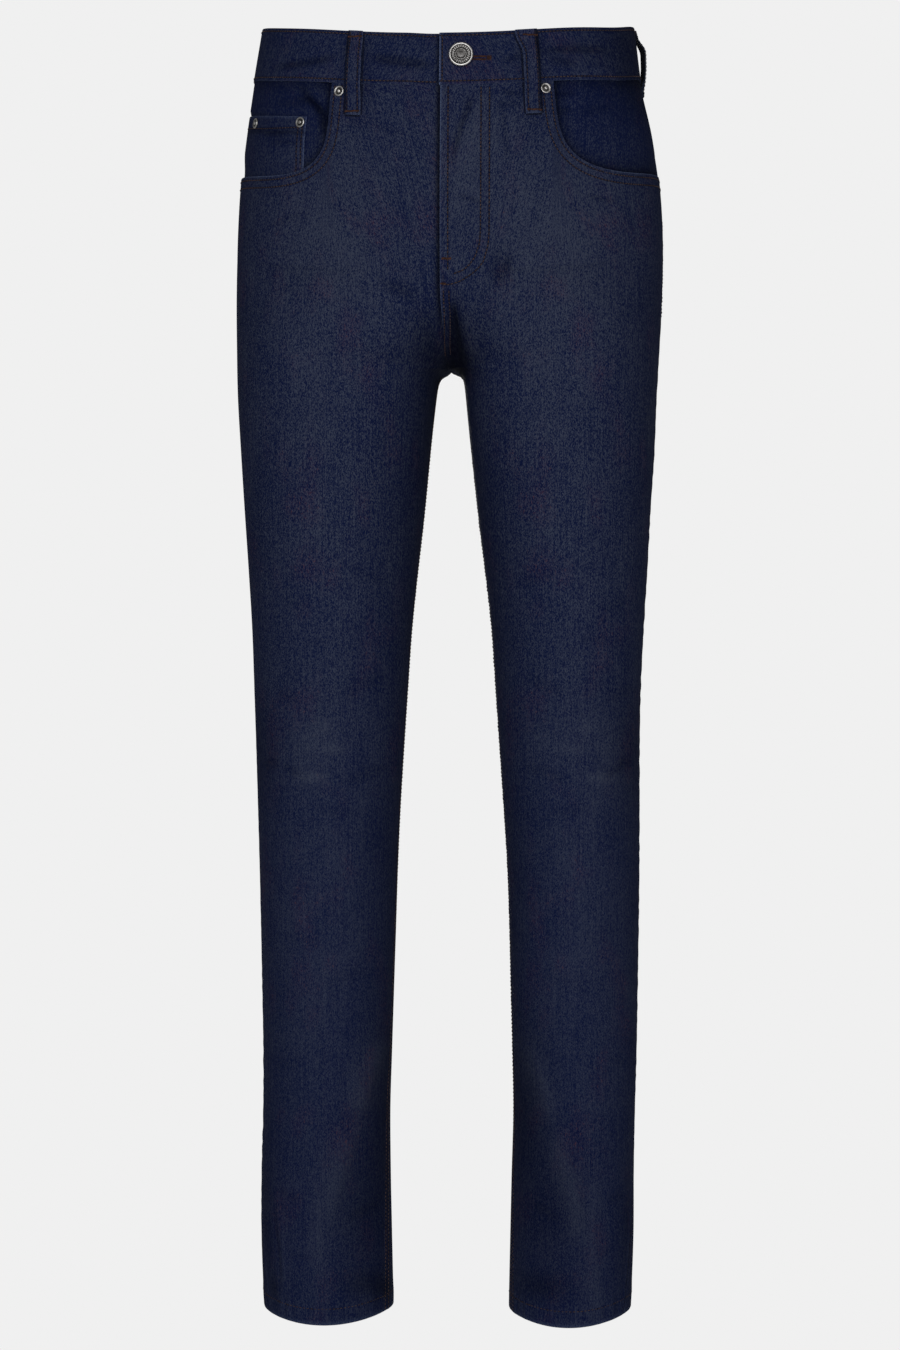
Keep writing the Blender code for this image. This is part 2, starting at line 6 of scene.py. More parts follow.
import bpy
import numpy as np
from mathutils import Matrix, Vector

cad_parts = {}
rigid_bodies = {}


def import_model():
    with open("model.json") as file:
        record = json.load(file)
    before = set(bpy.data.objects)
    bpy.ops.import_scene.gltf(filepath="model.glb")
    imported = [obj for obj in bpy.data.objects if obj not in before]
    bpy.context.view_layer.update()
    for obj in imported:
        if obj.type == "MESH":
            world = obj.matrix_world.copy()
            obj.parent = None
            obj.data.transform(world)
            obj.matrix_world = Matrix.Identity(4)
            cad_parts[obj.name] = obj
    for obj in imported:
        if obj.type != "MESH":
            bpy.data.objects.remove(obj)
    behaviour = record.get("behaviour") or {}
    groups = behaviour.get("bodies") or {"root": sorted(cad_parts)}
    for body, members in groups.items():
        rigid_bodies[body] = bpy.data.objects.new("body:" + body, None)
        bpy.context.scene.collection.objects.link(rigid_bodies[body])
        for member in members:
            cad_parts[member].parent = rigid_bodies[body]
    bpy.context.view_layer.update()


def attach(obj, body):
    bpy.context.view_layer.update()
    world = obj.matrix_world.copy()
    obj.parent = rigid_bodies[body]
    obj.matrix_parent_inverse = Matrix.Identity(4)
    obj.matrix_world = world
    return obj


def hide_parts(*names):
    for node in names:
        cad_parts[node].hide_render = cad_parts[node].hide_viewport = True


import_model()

# Cloth walls and gaps, metres
WALL = 0.0015
THIN_WALL = 0.0012
LAYER_GAP = 0.0008
PATCH_GAP = 0.0010
TOUCH = 0.00002

# Lengths down the side seam, metres
BAND_BOTTOM = 0.043
BAND_TUCK = 0.002
SPLIT = 0.190
CROTCH = 0.302
HEM = 1.0417
HEM_TURN = 0.0135
HEM_EXTRA = 0.0010
HEM_STEP = 0.0015
HEM_ROW = 0.0127

# Lower front and back edge of the hem, and the stretch over which the leg's rings come to it
HEM_DROOP = 0.0075
DROOP_FROM = 0.90
DROOP_OVER = 0.14

# The yoke's lower seam: length down at the side, and how much lower it is at the centre back
YOKE_DEPTH = 0.080
YOKE_DROP = 0.034

# Dip of the waist in front of each side seam: degrees round, half width in degrees, depth on each side
DIP_ANGLE = -28.0
DIP_WIDTH = 22.0
DIP_DEPTH = {1: 0.0042, -1: 0.0022}
DIP_END = 0.15
DIP_OVER = 0.10

# Height of the crotch point, and how tall the curve of the seat seam is in front and behind
CROTCH_Z = -0.279
FRONT_HOOK = 0.070
BACK_HOOK = 0.100

# Power of a section's oval on the torso, and the stretch over which it turns round
TORSO_POWER = 0.87
ROUND_FROM = 0.22
ROUND_OVER = 0.25

# Below the crotch: stretches over which a leg's rings turn level, its inner side draws in and the web ends
LEVEL_OVER = 0.12
DRAW_IN_OVER = 0.10
WEB_OVER = 0.003
WEB_POWER = 8
FORK_DEPTH = 0.056

# Join of the front and back panels' upper rows with the leg, and columns of the back grids
MERGE = 0.195
BEHIND_COLUMNS = 71

# Waistband
BAND_OUT = 0.0007
BAND_IN = 0.0015
BAND_EDGE_X = -0.0018
BAND_UNDER_X = 0.032

# How far the band on the wearer's left is drawn in at the side, down to where, and how far round in radians
BAND_DRAWN_IN = 0.0026
DRAWN_IN_TO = 0.038
DRAWN_IN_OVER = 0.055
DRAWN_IN_ROUND = 0.55

# Fly
FLY_EDGE_X = -0.0010
FLY_UNDER_X = 0.010
FLY_END = 0.200
SHIELD_X = (-0.008, 0.030)

# Front panels' columns: places beside the lap, and power that crowds them toward the fly
LAP_COLUMNS_X = (-0.0025, -0.0100, -0.0180)
COLUMN_CROWDING = 0.92

# Front pockets
POCKET_CORNER_X = 0.0880
POCKET_DEPTH = 0.0790
POCKET_POWER = {1: 4.3, -1: 5.6}
POCKET_TURN = 0.42
FACING_PAST = 0.022
FACING_LAP = 0.006

# How much flatter a facing lies beside the side seam, and where between the opening and the seam
FACING_FLATNESS = 0.88
FACING_NEAR = 0.001
FACING_OVER = 0.022

# Curved fold on the right facing, seen from the front: middle and half sizes across and up
FOLD_PLACE = (-0.122, -0.110)
FOLD_SIZE = (0.027, 0.048)

# Coin pocket: inner edge, top, height, inset from the side seam, depth behind the surface, thread
COIN_X = -0.1093
COIN_TOP = 0.0713
COIN_HEIGHT = 0.066
COIN_INSET = 0.006
COIN_DEPTH = WALL + LAYER_GAP + 0.0002
COIN_THREAD = 0.00028

# Back pockets: top, height at the sides, depth of the point, middle and half width, how these narrow
# downward, and the half width and height that the rows' insets are measured on
PATCH_TOP = 0.116
PATCH_SIDE = 0.132
PATCH_POINT = 0.018
PATCH_MIDDLE = 0.090
PATCH_WIDE = 0.062
PATCH_LEAN = 0.006
PATCH_TAPER = 0.009
PATCH_HALF = 0.060
PATCH_HEIGHT = 0.140

# Belt loops: half width, lengths, place of the front ones, wall and its crown, how far the standing one's
# first edge and its folded end turn out, shadow beside the front ones, inset and thread of the rows
LOOP_HALF = 0.00625
LONG_LOOP = 0.0685
SHORT_LOOP = 0.0535
FRONT_LOOP_X = 0.0700
LOOP_THICK = 0.0012
LOOP_CROWN = 0.00022
LOOP_TWIST = 0.0034
FOLDED_END = 0.0024
LOOP_SHADOW = 0.0008
LOOP_ROW_INSET = 0.0021
LOOP_THREAD = 0.00024

# Waist button and rivets: place, and profiles as radius, height and tarnish, millimetres
BUTTON_X = 0.0152
BUTTON_DOWN = 0.0190
BUTTON = (
    (0.01, 0.0, 1.0),
    (4.1, 0.0, 1.0),
    (4.2, 1.0, 1.0),
    (8.9, 1.15, 1.0),
    (9.5, 1.5, 0.8),
    (9.8, 2.1, 0.2),
    (9.6, 2.8, 0.0),
    (9.1, 3.2, 0.0),
    (8.5, 3.3, 0.05),
    (8.0, 3.1, 0.5),
    (7.7, 2.65, 1.0),
    (7.2, 2.5, 1.0),
    (6.3, 2.5, 1.0),
    (5.4, 2.5, 1.0),
    (4.9, 2.65, 1.0),
    (4.6, 3.05, 0.75),
    (4.3, 3.25, 0.6),
    (3.9, 3.2, 0.7),
    (3.6, 2.95, 1.0),
    (3.0, 2.85, 0.95),
    (2.0, 2.95, 0.88),
    (1.0, 3.0, 0.86),
    (0.01, 3.0, 0.86),
)
RIVET = (
    (0.01, 0.0, 1.0),
    (4.0, 0.0, 1.0),
    (4.2, 0.35, 0.6),
    (4.15, 0.75, 0.0),
    (3.8, 1.05, 0.0),
    (3.4, 1.1, 0.05),
    (2.9, 0.9, 0.6),
    (2.4, 0.65, 1.0),
    (1.7, 0.65, 1.0),
    (1.5, 0.9, 0.7),
    (1.3, 1.35, 0.0),
    (0.9, 1.6, 0.0),
    (0.01, 1.65, 0.0),
)
POCKET_RIVETS = (("rivet_pocket_left", 1, 0.0815, 0.0488), ("rivet_pocket_right", -1, 0.0817, 0.0498))
COIN_RIVETS = (("rivet_coin_outer", -0.1540, 0.0777), ("rivet_coin_inner", -0.1138, 0.0761))

# Beads round the button's face: radius of the ring, half width and height
BEAD_RING = 0.0063
BEAD_REACH = 0.00085
BEAD_HEIGHT = 0.00042

# Sections down the side seam, millimetres: half widths outside and inside, reach in front and behind
SECTION_COLUMNS = ("down", "right_out", "right_in", "left_in", "left_out", "front", "back")
SECTIONS = (
    (0, 152.5, 0.0, 0.0, 152.5, 107.0, 109.0),
    (43, 159.8, 0.0, 0.0, 157.8, 112.0, 116.5),
    (90, 166.8, 0.0, 0.0, 165.5, 116.0, 125.0),
    (130, 171.5, 0.0, 0.0, 171.3, 118.5, 131.0),
    (165, 173.6, 0.0, 0.0, 173.5, 118.5, 132.0),
    (220, 174.4, 1.0, 1.2, 173.0, 115.5, 128.0),
    (260, 173.8, 4.0, 5.0, 171.0, 111.5, 119.0),
    (302, 172.8, 9.0, 11.2, 168.6, 106.5, 107.0),
    (343, 170.4, 14.3, 15.9, 167.0, 102.0, 96.5),
    (392, 167.2, 20.0, 22.5, 163.8, 97.0, 86.0),
    (441, 163.8, 25.7, 29.0, 161.2, 92.0, 76.5),
    (490, 160.7, 30.6, 34.6, 158.2, 87.5, 68.0),
    (539, 158.9, 33.9, 38.0, 155.8, 83.0, 61.5),
    (588, 157.5, 37.2, 41.3, 154.9, 77.5, 59.0),
    (637, 156.5, 40.4, 44.5, 154.8, 72.5, 62.0),
    (686, 155.6, 42.8, 47.3, 154.6, 68.0, 65.5),
    (735, 154.8, 44.5, 48.8, 154.0, 64.5, 67.5),
    (784, 154.0, 46.2, 49.8, 153.2, 61.5, 67.5),
    (833, 153.2, 47.8, 51.0, 152.3, 59.5, 66.5),
    (882, 153.3, 49.2, 51.7, 150.9, 58.0, 64.5),
    (931, 154.5, 48.8, 50.4, 150.0, 57.5, 62.0),
    (980, 154.6, 47.8, 49.3, 149.8, 57.5, 61.0),
    (1042, 152.4, 46.4, 48.0, 147.6, 58.0, 60.5),
)

# Centre seams down the side seam, millimetres: height of each at the front and at the back
RISE_COLUMNS = ("down", "front_z", "back_z")
RISES = (
    (0, -20.8, 13.0),
    (43, -62.6, -30.5),
    (115, -134.0, -104.0),
    (190, -209.0, -179.0),
)

# Seams of the leg, degrees round from the outer side, toward the front where negative
SEAM_COLUMNS = ("down", "side_seam", "inseam")
SEAMS = (
    (0, 4.0, 0.0),
    (200, 3.0, 0.0),
    (330, 2.0, 0.0),
    (560, 0.0, 5.0),
    (800, -3.0, 12.0),
    (920, -8.0, 19.0),
    (1000, -19.0, 24.0),
    (1042, -27.0, 27.0),
)

# Folds: garment side, degrees round and millimetres down of both ends, half width and height in millimetres
FOLD_COLUMNS = ("side", "from_angle", "from_down", "to_angle", "to_down", "half_width", "height")
FOLDS = (
    (-1, -96, 250, -40, 222, 22, 1.3),
    (-1, -132, 300, -64, 272, 20, -1.8),
    (-1, -128, 352, -70, 330, 22, 1.4),
    (1, -98, 246, -44, 216, 22, 1.2),
    (1, -130, 296, -66, 266, 20, -1.7),
    (1, -130, 346, -66, 326, 22, 1.5),
    (-1, 60, 322, 138, 300, 14, -2.4),
    (-1, 52, 352, 140, 344, 13, 1.9),
    (1, 56, 318, 136, 304, 14, -2.2),
    (1, 60, 356, 144, 340, 13, 2.0),
    (-1, 55, 560, 125, 584, 12, 2.2),
    (-1, 48, 606, 132, 590, 12, -2.4),
    (-1, 60, 640, 128, 622, 13, 1.8),
    (1, 50, 566, 130, 578, 12, 2.0),
    (1, 56, 600, 126, 596, 12, -2.3),
    (1, 52, 634, 134, 618, 13, 2.0),
    (-1, -120, 540, -55, 528, 18, 1.3),
    (1, -118, 528, -58, 540, 18, 1.2),
    (-1, 30, 930, 140, 948, 13, 1.8),
    (-1, 40, 974, 120, 966, 12, -1.6),
    (1, 36, 944, 136, 930, 13, 1.7),
    (1, 44, 966, 124, 978, 12, -1.6),
)
FOLD_ROUND = 0.085

# Creases seen from the front and from behind: both ends, bow to the side, half width, height, millimetres,
# and how much narrower the crease is on one side
CREASE_COLUMNS = ("x0", "z0", "x1", "z1", "bow", "half_width", "height", "sharp")
CREASES_FRONT = (
    (-146, -38, -78, -35, 3, 4.0, -1.50, 0.7),
    (-140, -47, -88, -46, 0, 5.0, 0.50, 0.8),
    (-64, -37, -1, -46, 1, 4.6, -1.80, 0.7),
    (-56, -50, -12, -54, 0, 5.0, 0.45, 0.8),
    (72, -36, 138, -29, -2, 4.0, -1.40, 0.7),
    (-143, -948, -134, -1036, -2, 1.6, -0.60, 1.0),
    (-139, -940, -131, -1032, -2, 2.4, 0.45, 1.0),
    (80, -40, 110, -43, 0, 4.0, -0.90, 0.7),
    (92, -52, 140, -46, 0, 5.0, 0.45, 0.8),
    (46, -44, 66, -37, 0, 3.2, -0.85, 0.7),
    (42, -66, 68, -69, 1, 3.0, -0.85, 0.7),
    (40, -77, 66, -79, -1, 3.6, -0.65, 0.8),
    (86, -71, 108, -64, 0, 2.8, -1.10, 0.7),
    (-126, -68, -90, -95, -10, 3.2, -1.60, 0.7),
    (-120, -62, -84, -90, -13, 4.0, 0.60, 0.8),
    (-152, -93, -122, -96, 0, 2.8, -0.90, 0.7),
    (31, -62, 8, -134, 4, 3.4, -1.50, 0.6),
    (37, -64, 22, -128, 3, 4.6, 0.85, 0.8),
    (20, -66, 22, -92, 0, 2.6, -0.50, 0.8),
    (8, -149, 42, -160, -1, 2.6, -0.70, 0.6),
    (10, -141, 40, -150, -1, 4.0, 0.40, 0.8),
    (46, -68, 52, -132, -2, 3.4, -0.65, 0.7),
    (58, -72, 60, -120, 2, 5.0, 0.40, 0.8),
    (38, -222, 56, -192, 3, 5.0, -0.80, 0.6),
    (48, -226, 74, -200, 3, 8.0, 0.60, 0.8),
    (9, -226, 11, -290, 1, 4.6, -2.20, 0.7),
    (22, -232, 26, -286, 2, 7.0, 0.90, 0.8),
    (-4, -206, 6, -228, 0, 3.0, -0.80, 0.7),
    (-12, -232, -58, -206, -4, 8.0, -0.80, 0.7),
    (-30, -216, -82, -196, -3, 9.0, 0.60, 0.8),
    (110, -146, 145, -152, 1, 3.0, -0.55, 0.6),
    (96, -160, 150, -168, 2, 6.0, 0.40, 0.8),
    (-146, -101, -112, -104, -1, 2.8, -0.80, 0.7),
    (-150, -112, -118, -116, 1, 3.6, 0.50, 0.8),
    (90, -84, 104, -77, 0, 2.8, -0.90, 0.7),
    (100, -82, 140, -70, 3, 4.0, -0.50, 0.8),
    (-104, -74, -142, -66, -2, 4.0, -0.60, 0.8),
    (-100, -160, -150, -172, 2, 5.0, -0.35, 0.8),
    (-60, -86, -24, -104, 2, 5.0, -0.35, 0.8),
    (-136, -462, -103, -474, 2, 7.0, -0.30, 0.8),
    (-121, -506, -85, -499, -2, 6.0, -0.25, 0.8),
    (-81, -436, -37, -456, 2, 7.0, -0.30, 0.8),
    (-142, -539, -110, -547, 1, 7.0, -0.36, 0.7),
    (-88, -547, -39, -525, -2, 8.0, -0.33, 0.8),
    (-152, -601, -131, -595, -1, 6.0, -0.61, 0.7),
    (-133, -595, -110, -609, 2, 5.0, -0.50, 0.7),
    (-122, -581, -97, -588, 1, 6.0, 0.33, 0.8),
    (-116, -609, -101, -611, 0, 3.0, 0.39, 0.7),
    (-94, -588, -79, -584, 0, 3.0, 0.36, 0.7),
    (-103, -565, -91, -573, 0, 3.0, 0.30, 0.7),
    (-88, -618, -37, -598, -2, 7.0, -0.44, 0.7),
    (-112, -630, -57, -637, 2, 8.0, -0.25, 0.8),
    (-142, -728, -88, -743, 3, 9.0, -0.22, 0.8),
    (-112, -783, -49, -763, -3, 8.0, -0.25, 0.8),
    (-146, -846, -112, -838, -2, 7.0, -0.28, 0.8),
    (-46, -812, -72, -892, 4, 12.0, 1.60, 0.5),
    (-68, -878, -97, -990, 4, 11.0, 1.50, 0.5),
    (-108, -912, -102, -1038, -2, 4.5, 0.44, 0.8),
    (-142, -940, -112, -950, 1, 5.0, -0.47, 0.7),
    (-88, -968, -43, -952, -2, 6.0, -0.44, 0.7),
    (-137, -989, -90, -999, 1, 5.0, -0.30, 0.8),
    (152, -465, 120, -475, -2, 7.0, -0.28, 0.8),
    (136, -502, 100, -500, 2, 6.0, -0.25, 0.8),
    (96, -440, 52, -458, -2, 7.0, -0.33, 0.8),
    (156, -536, 126, -548, -1, 7.0, -0.33, 0.7),
    (104, -548, 55, -528, 2, 8.0, -0.33, 0.8),
    (150, -600, 138, -596, 1, 6.0, -0.55, 0.7),
    (146, -597, 124, -608, -2, 5.0, -0.55, 0.7),
    (137, -580, 112, -588, -1, 6.0, 0.33, 0.8),
    (131, -610, 117, -609, 0, 3.0, 0.39, 0.7),
    (110, -588, 95, -585, 0, 3.0, 0.33, 0.7),
    (118, -567, 107, -573, 0, 3.0, 0.30, 0.7),
    (104, -616, 53, -600, 2, 7.0, -0.41, 0.7),
    (127, -628, 72, -638, -2, 8.0, -0.28, 0.8),
    (148, -724, 104, -742, -3, 9.0, -0.22, 0.8),
    (128, -786, 65, -766, 3, 8.0, -0.25, 0.8),
    (146, -842, 127, -838, 2, 7.0, -0.28, 0.8),
    (60, -816, 86, -894, -4, 12.0, 1.60, 0.5),
    (83, -880, 111, -992, -4, 11.0, 1.50, 0.5),
    (124, -914, 118, -1036, 2, 4.5, 0.44, 0.8),
    (146, -944, 127, -950, -1, 5.0, -0.47, 0.7),
    (104, -970, 58, -950, 2, 6.0, -0.44, 0.7),
    (140, -986, 105, -998, -1, 5.0, -0.33, 0.8),
)
CREASES_BACK = (
    (-120, -88, -60, -80, 2, 6.0, -0.50, 0.8),
    (118, -86, 56, -82, -2, 6.0, -0.50, 0.8),
    (-20, -120, -60, -96, 2, 7.0, -0.50, 0.8),
    (22, -124, 58, -98, -2, 7.0, -0.45, 0.8),
    (-10, -236, -70, -262, -4, 7.0, -1.10, 0.6),
    (12, -240, 74, -260, 4, 7.0, -1.00, 0.6),
    (-16, -262, -92, -290, -4, 8.0, 0.90, 0.8),
    (18, -258, 90, -292, 4, 8.0, 0.95, 0.8),
    (-24, -296, -112, -306, -5, 7.0, -1.20, 0.6),
    (26, -300, 108, -304, 5, 7.0, -1.15, 0.6),
    (-40, -348, -130, -332, -3, 8.0, 0.70, 0.8),
    (44, -344, 132, -330, 3, 8.0, 0.75, 0.8),
    (-50, -390, -120, -378, 2, 7.0, -0.60, 0.8),
    (52, -396, 124, -376, -2, 7.0, -0.55, 0.8),
    (-48, -540, -138, -556, 3, 5.0, -1.20, 0.6),
    (50, -546, 140, -552, -3, 5.0, -1.10, 0.6),
    (-50, -560, -96, -580, 2, 4.5, 1.10, 0.6),
    (54, -562, 100, -584, -2, 4.5, 1.00, 0.6),
    (-142, -566, -92, -588, -2, 5.0, -1.10, 0.6),
    (144, -570, 96, -592, 2, 5.0, -1.15, 0.6),
    (-52, -606, -140, -612, -3, 5.0, -1.20, 0.6),
    (56, -600, 142, -616, 3, 5.0, -1.10, 0.6),
    (-62, -626, -120, -640, 2, 5.0, 0.90, 0.7),
    (60, -630, 122, -636, -2, 5.0, 0.85, 0.7),
    (-56, -652, -132, -650, 2, 6.0, -0.80, 0.7),
    (58, -648, 130, -656, -2, 6.0, -0.80, 0.7),
    (-60, -720, -130, -740, 3, 9.0, -0.50, 0.8),
    (62, -726, 128, -738, -3, 9.0, -0.50, 0.8),
    (-58, -860, -140, -846, -3, 8.0, -0.60, 0.8),
    (60, -852, 138, -858, 3, 8.0, -0.55, 0.8),
    (-54, -948, -132, -960, 3, 5.0, -0.90, 0.7),
    (56, -944, 136, -956, -3, 5.0, -0.95, 0.7),
    (-62, -990, -120, -984, 2, 5.0, -0.70, 0.7),
    (60, -982, 126, -992, -2, 5.0, -0.65, 0.7),
)

# Worn patches seen from the front or from behind, then patches of painted shade seen from the front: place,
# half sizes, millimetres, and strength
PATCH_COLUMNS = ("x", "z", "half_x", "half_z", "strength")
PATCHES_FRONT = (
    (-88, -180, 60, 90, 0.55),
    (92, -180, 60, 90, 0.60),
    (20, -120, 34, 60, 0.45),
    (-92, -330, 48, 110, 0.26),
    (100, -320, 48, 110, 0.28),
    (-90, -470, 40, 90, 0.20),
    (106, -470, 40, 90, 0.20),
    (-96, -590, 40, 46, 0.28),
    (112, -590, 40, 46, 0.28),
    (-109, -609, 13, 4, 0.50),
    (-87, -586, 12, 4, 0.45),
    (-98, -569, 8, 6, 0.35),
    (124, -609, 13, 4, 0.50),
    (103, -586, 12, 4, 0.45),
    (113, -569, 8, 6, 0.35),
    (-102, -740, 42, 110, 0.24),
    (110, -740, 42, 110, 0.24),
    (-104, -1000, 10, 90, 0.20),
    (120, -1000, 10, 90, 0.20),
)
PATCHES_BACK = (
    (-80, -170, 60, 80, 0.55),
    (80, -170, 60, 80, 0.55),
    (-92, -360, 46, 90, 0.40),
    (94, -360, 46, 90, 0.40),
    (-96, -580, 36, 50, 0.35),
    (98, -580, 36, 50, 0.35),
    (-100, -800, 40, 120, 0.30),
    (100, -800, 40, 120, 0.30),
)
# Painted shade: dark patches round the front belt loops, in the crotch, inside the lower legs, at the legs'
# sides and near the hems
PAINTED_SHADES_FRONT = (
    (-50, -1027, 9, 9, 0.45),
    (-140, -1023, 4, 10, 0.45),
    (-67, -30, 9, 16, 0.42),
    (-67, -66, 9, 22, 0.42),
    (71, -30, 9, 16, 0.42),
    (71, -66, 9, 22, 0.42),
    (11, -264, 7, 26, 0.85),
    (10, -280, 14, 13, 0.70),
    (24, -262, 18, 30, 0.28),
    (-12, -262, 13, 26, 0.40),
    (46, -206, 10, 15, 0.30),
    (-46, -880, 18, 60, 0.45),
    (-66, -960, 26, 60, 0.40),
    (64, -880, 18, 60, 0.45),
    (84, -960, 26, 60, 0.40),
    (-60, -1018, 22, 12, 0.45),
    (76, -1018, 22, 12, 0.45),
    (-150, -590, 16, 40, 0.30),
    (150, -590, 16, 40, 0.30),
    (-150, -980, 12, 60, 0.35),
    (150, -980, 12, 60, 0.35),
)

# Share of a fold's or crease's length over which each end fades, and width of the blend round the sides
FOLD_FADE = 0.35
SIDE_BLEND = 0.30

# Ripples beside the seams, metres: reach, height and length, and how many points are measured at once
PUCKERS = {
    "inseam": (0.0060, 0.00030, 0.0125),
    "side": (0.0065, 0.00030, 0.0145),
    "pocket": (0.0085, 0.00022, 0.0105),
    "yoke": (0.0075, 0.00028, 0.0120),
    "hem": (0.0080, 0.00045, 0.0110),
    "band": (0.0070, 0.00022, 0.0115),
    "seat": (0.0080, 0.00034, 0.0130),
    "fly": (0.0080, 0.00034, 0.0105),
}
NEAREST_BATCH = 4000

# Edges of the cloth: roll, its share one line in and on the inside, bulge of the rim in wall widths, and
# place of the grid's lines just inside the edges, as a share of a step
EDGE_ROLL = 0.00042
NEXT_ROLL = 0.22
INSIDE_ROLL = 0.3
RIM_BULGE = 0.22
BORDER_SHARE = 0.25

# Painted wear and painted shade: fading for a millimetre of ridge, painted shade for a millimetre of hollow,
# share of an edge's rubbing one line in, inside of the cloth, and how much softer the weave shows down the
# legs
RIDGE_FADE = 0.30
HOLLOW_SHADE = 0.38
WEAR_INSIDE = (0.40, 0.40, 0.12, 0.12)
INSIDE_WEAR = 0.4
LEG_SOFTNESS = 0.45
SOFT_FROM = 0.34
SOFT_OVER = 0.40

# Plumb line of the weave on the legs, and radius that turns an angle beside the side seam into a distance
LEG_PLUMB = 0.092
SIDE_ROUND = 0.075

# Sewing, metres
STITCH_PITCH = 0.0031
STITCH_LENGTH = 0.0022
STITCH_SIDES = 6
STITCH_FLATNESS = 0.85
STITCH_GIRTH = 0.0019
THREAD_RADIUS = 0.00038
PATH_STEP = 0.0015
# Half width and rise of the dark strips of painted shade under the rows and beside the front loops
SHADE_STRIP_HALF = 0.00062
SHADE_STRIP_RISE = 0.00007
TACK_PITCH = 0.00042
TACK_JITTER = 0.00012
TACK_RADIUS = 0.00026
THICK_TACK = 0.00030
SEAM_ROWS = (0.0020, 0.0082)
POCKET_ROWS = (0.0032, 0.0093)
BUTTONHOLE_Z = -0.0414

# Rings of one stitch: place along it, girth, and rise of its middle, in thread radii
STITCH_RINGS = np.array(
    (
        (0.0, 0.35, -0.55),
        (0.20, 0.90, 0.25),
        (0.50, 1.0, 0.55),
        (0.80, 0.90, 0.25),
        (1.0, 0.35, -0.55),
    )
)

# The fly's two curved rows from the waistband down to the centre seam: x and height
FLY_OUTER_ROW = np.array(
    (
        (0.0378, -0.0640),
        (0.0378, -0.1500),
        (0.0376, -0.1800),
        (0.0368, -0.1900),
        (0.0331, -0.2025),
        (0.0282, -0.2090),
        (0.0221, -0.2135),
        (0.0158, -0.2175),
        (0.0085, -0.2200),
        (0.0009, -0.2206),
    )
)
FLY_INNER_ROW = np.array(
    (
        (0.0311, -0.0640),
        (0.0311, -0.1500),
        (0.0309, -0.1780),
        (0.0302, -0.1876),
        (0.0268, -0.1985),
        (0.0222, -0.2050),
        (0.0170, -0.2095),
        (0.0096, -0.2120),
    )
)

# Tacks at the foot of the fly: x, height and length
FLY_TACKS = ((0.0040, -0.2001, 0.0070), (0.0024, -0.2198, 0.0066))

# Weave in millimetres and degrees: pitch and turn of the twill ribs, spacing of the warp's ends and floats,
# pitch and turn of the thread's plies, and what turns a pitch into a wave texture's scale
RIB_PITCH = 1.15
TWILL_TURN = -27
END_PITCH = 0.60
FLOAT_PITCH = 1.20
PLY_PITCH = 0.55
PLY_TURN = 40
WAVE_TURN = 0.314

# Colours: deep, worn, edge and warm tones of the denim, then dark and light tones
DEEP = (0.0026, 0.0058, 0.0290)
WORN = (0.0315, 0.0384, 0.0628)
EDGE = (0.075, 0.100, 0.180)
WARM = (0.0440, 0.0235, 0.0340)
REVERSE = ((0.030, 0.038, 0.060), (0.120, 0.140, 0.180), (0.2, 0.22, 0.26), (0.1, 0.1, 0.12))
# Dark and light tones of the strips of painted shade
SHADE_STRIP_TONES = ((0.0022, 0.0034, 0.0110), (0.0120, 0.0140, 0.0290))
RUST = ((0.0200, 0.0080, 0.0052), (0.0560, 0.0230, 0.0145))
TOBACCO = ((0.0235, 0.0140, 0.0122), (0.0660, 0.0405, 0.0355))
NICKEL = ((0.42, 0.41, 0.40), (0.045, 0.043, 0.042))

# Studio: floor, grey of the backdrop, light of the surround, lamps as name, place, size and power, camera
MIDDLE = (0.0, 0.0, -0.527)
FLOOR_HALF = 12.0
FLOOR_Z = -1.10
BACKDROP = 0.871
SURROUND = 0.22
LIGHTS = (
    ("key", (-0.5, -3.4, 0.35), 1.9, 62.0),
    ("fill", (1.3, -3.0, -0.4), 1.6, 26.0),
    ("back", (-0.40, 3.4, 0.1), 0.8, 58.0),
)
CAMERA_AWAY = 3.0
CAMERA_TURN = 3.4
CAMERA_LENS = 97.92


def bell(x, half):
    """One at zero, falling away to both sides."""
    return np.exp(-((x / half) ** 2))


def unit(vectors):
    """The same directions, one long."""
    return vectors / np.maximum(np.linalg.norm(vectors, axis=-1, keepdims=True), 1e-12)


def lengths_along(path):
    """Length along a path up to each of its points."""
    return np.concatenate([[0.0], np.cumsum(np.linalg.norm(np.diff(path, axis=0), axis=1))])


def picked(path, lengths, at):
    """Rows of a path at given lengths along it."""
    return np.stack([np.interp(at, lengths, path[:, i]) for i in range(path.shape[1])], axis=-1)


def table(columns, rows):
    """Named columns of a table, in the units that its rows are written in."""
    return {name: np.array([row[i] for row in rows], float) for i, name in enumerate(columns)}


SECTION = table(SECTION_COLUMNS, SECTIONS)
RISE = table(RISE_COLUMNS, RISES)
SEAM = table(SEAM_COLUMNS, SEAMS)
FOLD = table(FOLD_COLUMNS, FOLDS)
CREASE_FRONT = table(CREASE_COLUMNS, CREASES_FRONT)
CREASE_BACK = table(CREASE_COLUMNS, CREASES_BACK)
PATCH_FRONT = table(PATCH_COLUMNS, PATCHES_FRONT)
PATCH_BACK = table(PATCH_COLUMNS, PATCHES_BACK)
PAINTED_SHADE_FRONT = table(PATCH_COLUMNS, PAINTED_SHADES_FRONT)


def column(source, name, down):
    """Smooth curve through one column, at a length down the side seam in metres."""
    xs = source["down"]
    ys = source[name]
    slopes = np.gradient(ys, xs)
    x = np.asarray(down, float) * 1000
    i = np.clip(np.searchsorted(xs, x) - 1, 0, len(xs) - 2)
    width = xs[i + 1] - xs[i]
    u = np.clip((x - xs[i]) / width, 0, 1)
    start = (2 * u**3 - 3 * u**2 + 1) * ys[i] + (u**3 - 2 * u**2 + u) * width * slopes[i]
    end = (3 * u**2 - 2 * u**3) * ys[i + 1] + (u**3 - u**2) * width * slopes[i + 1]
    return start + end


def eased(u):
    """Zero to one with level ends."""
    u = np.clip(u, 0, 1)
    return u * u * (3 - 2 * u)


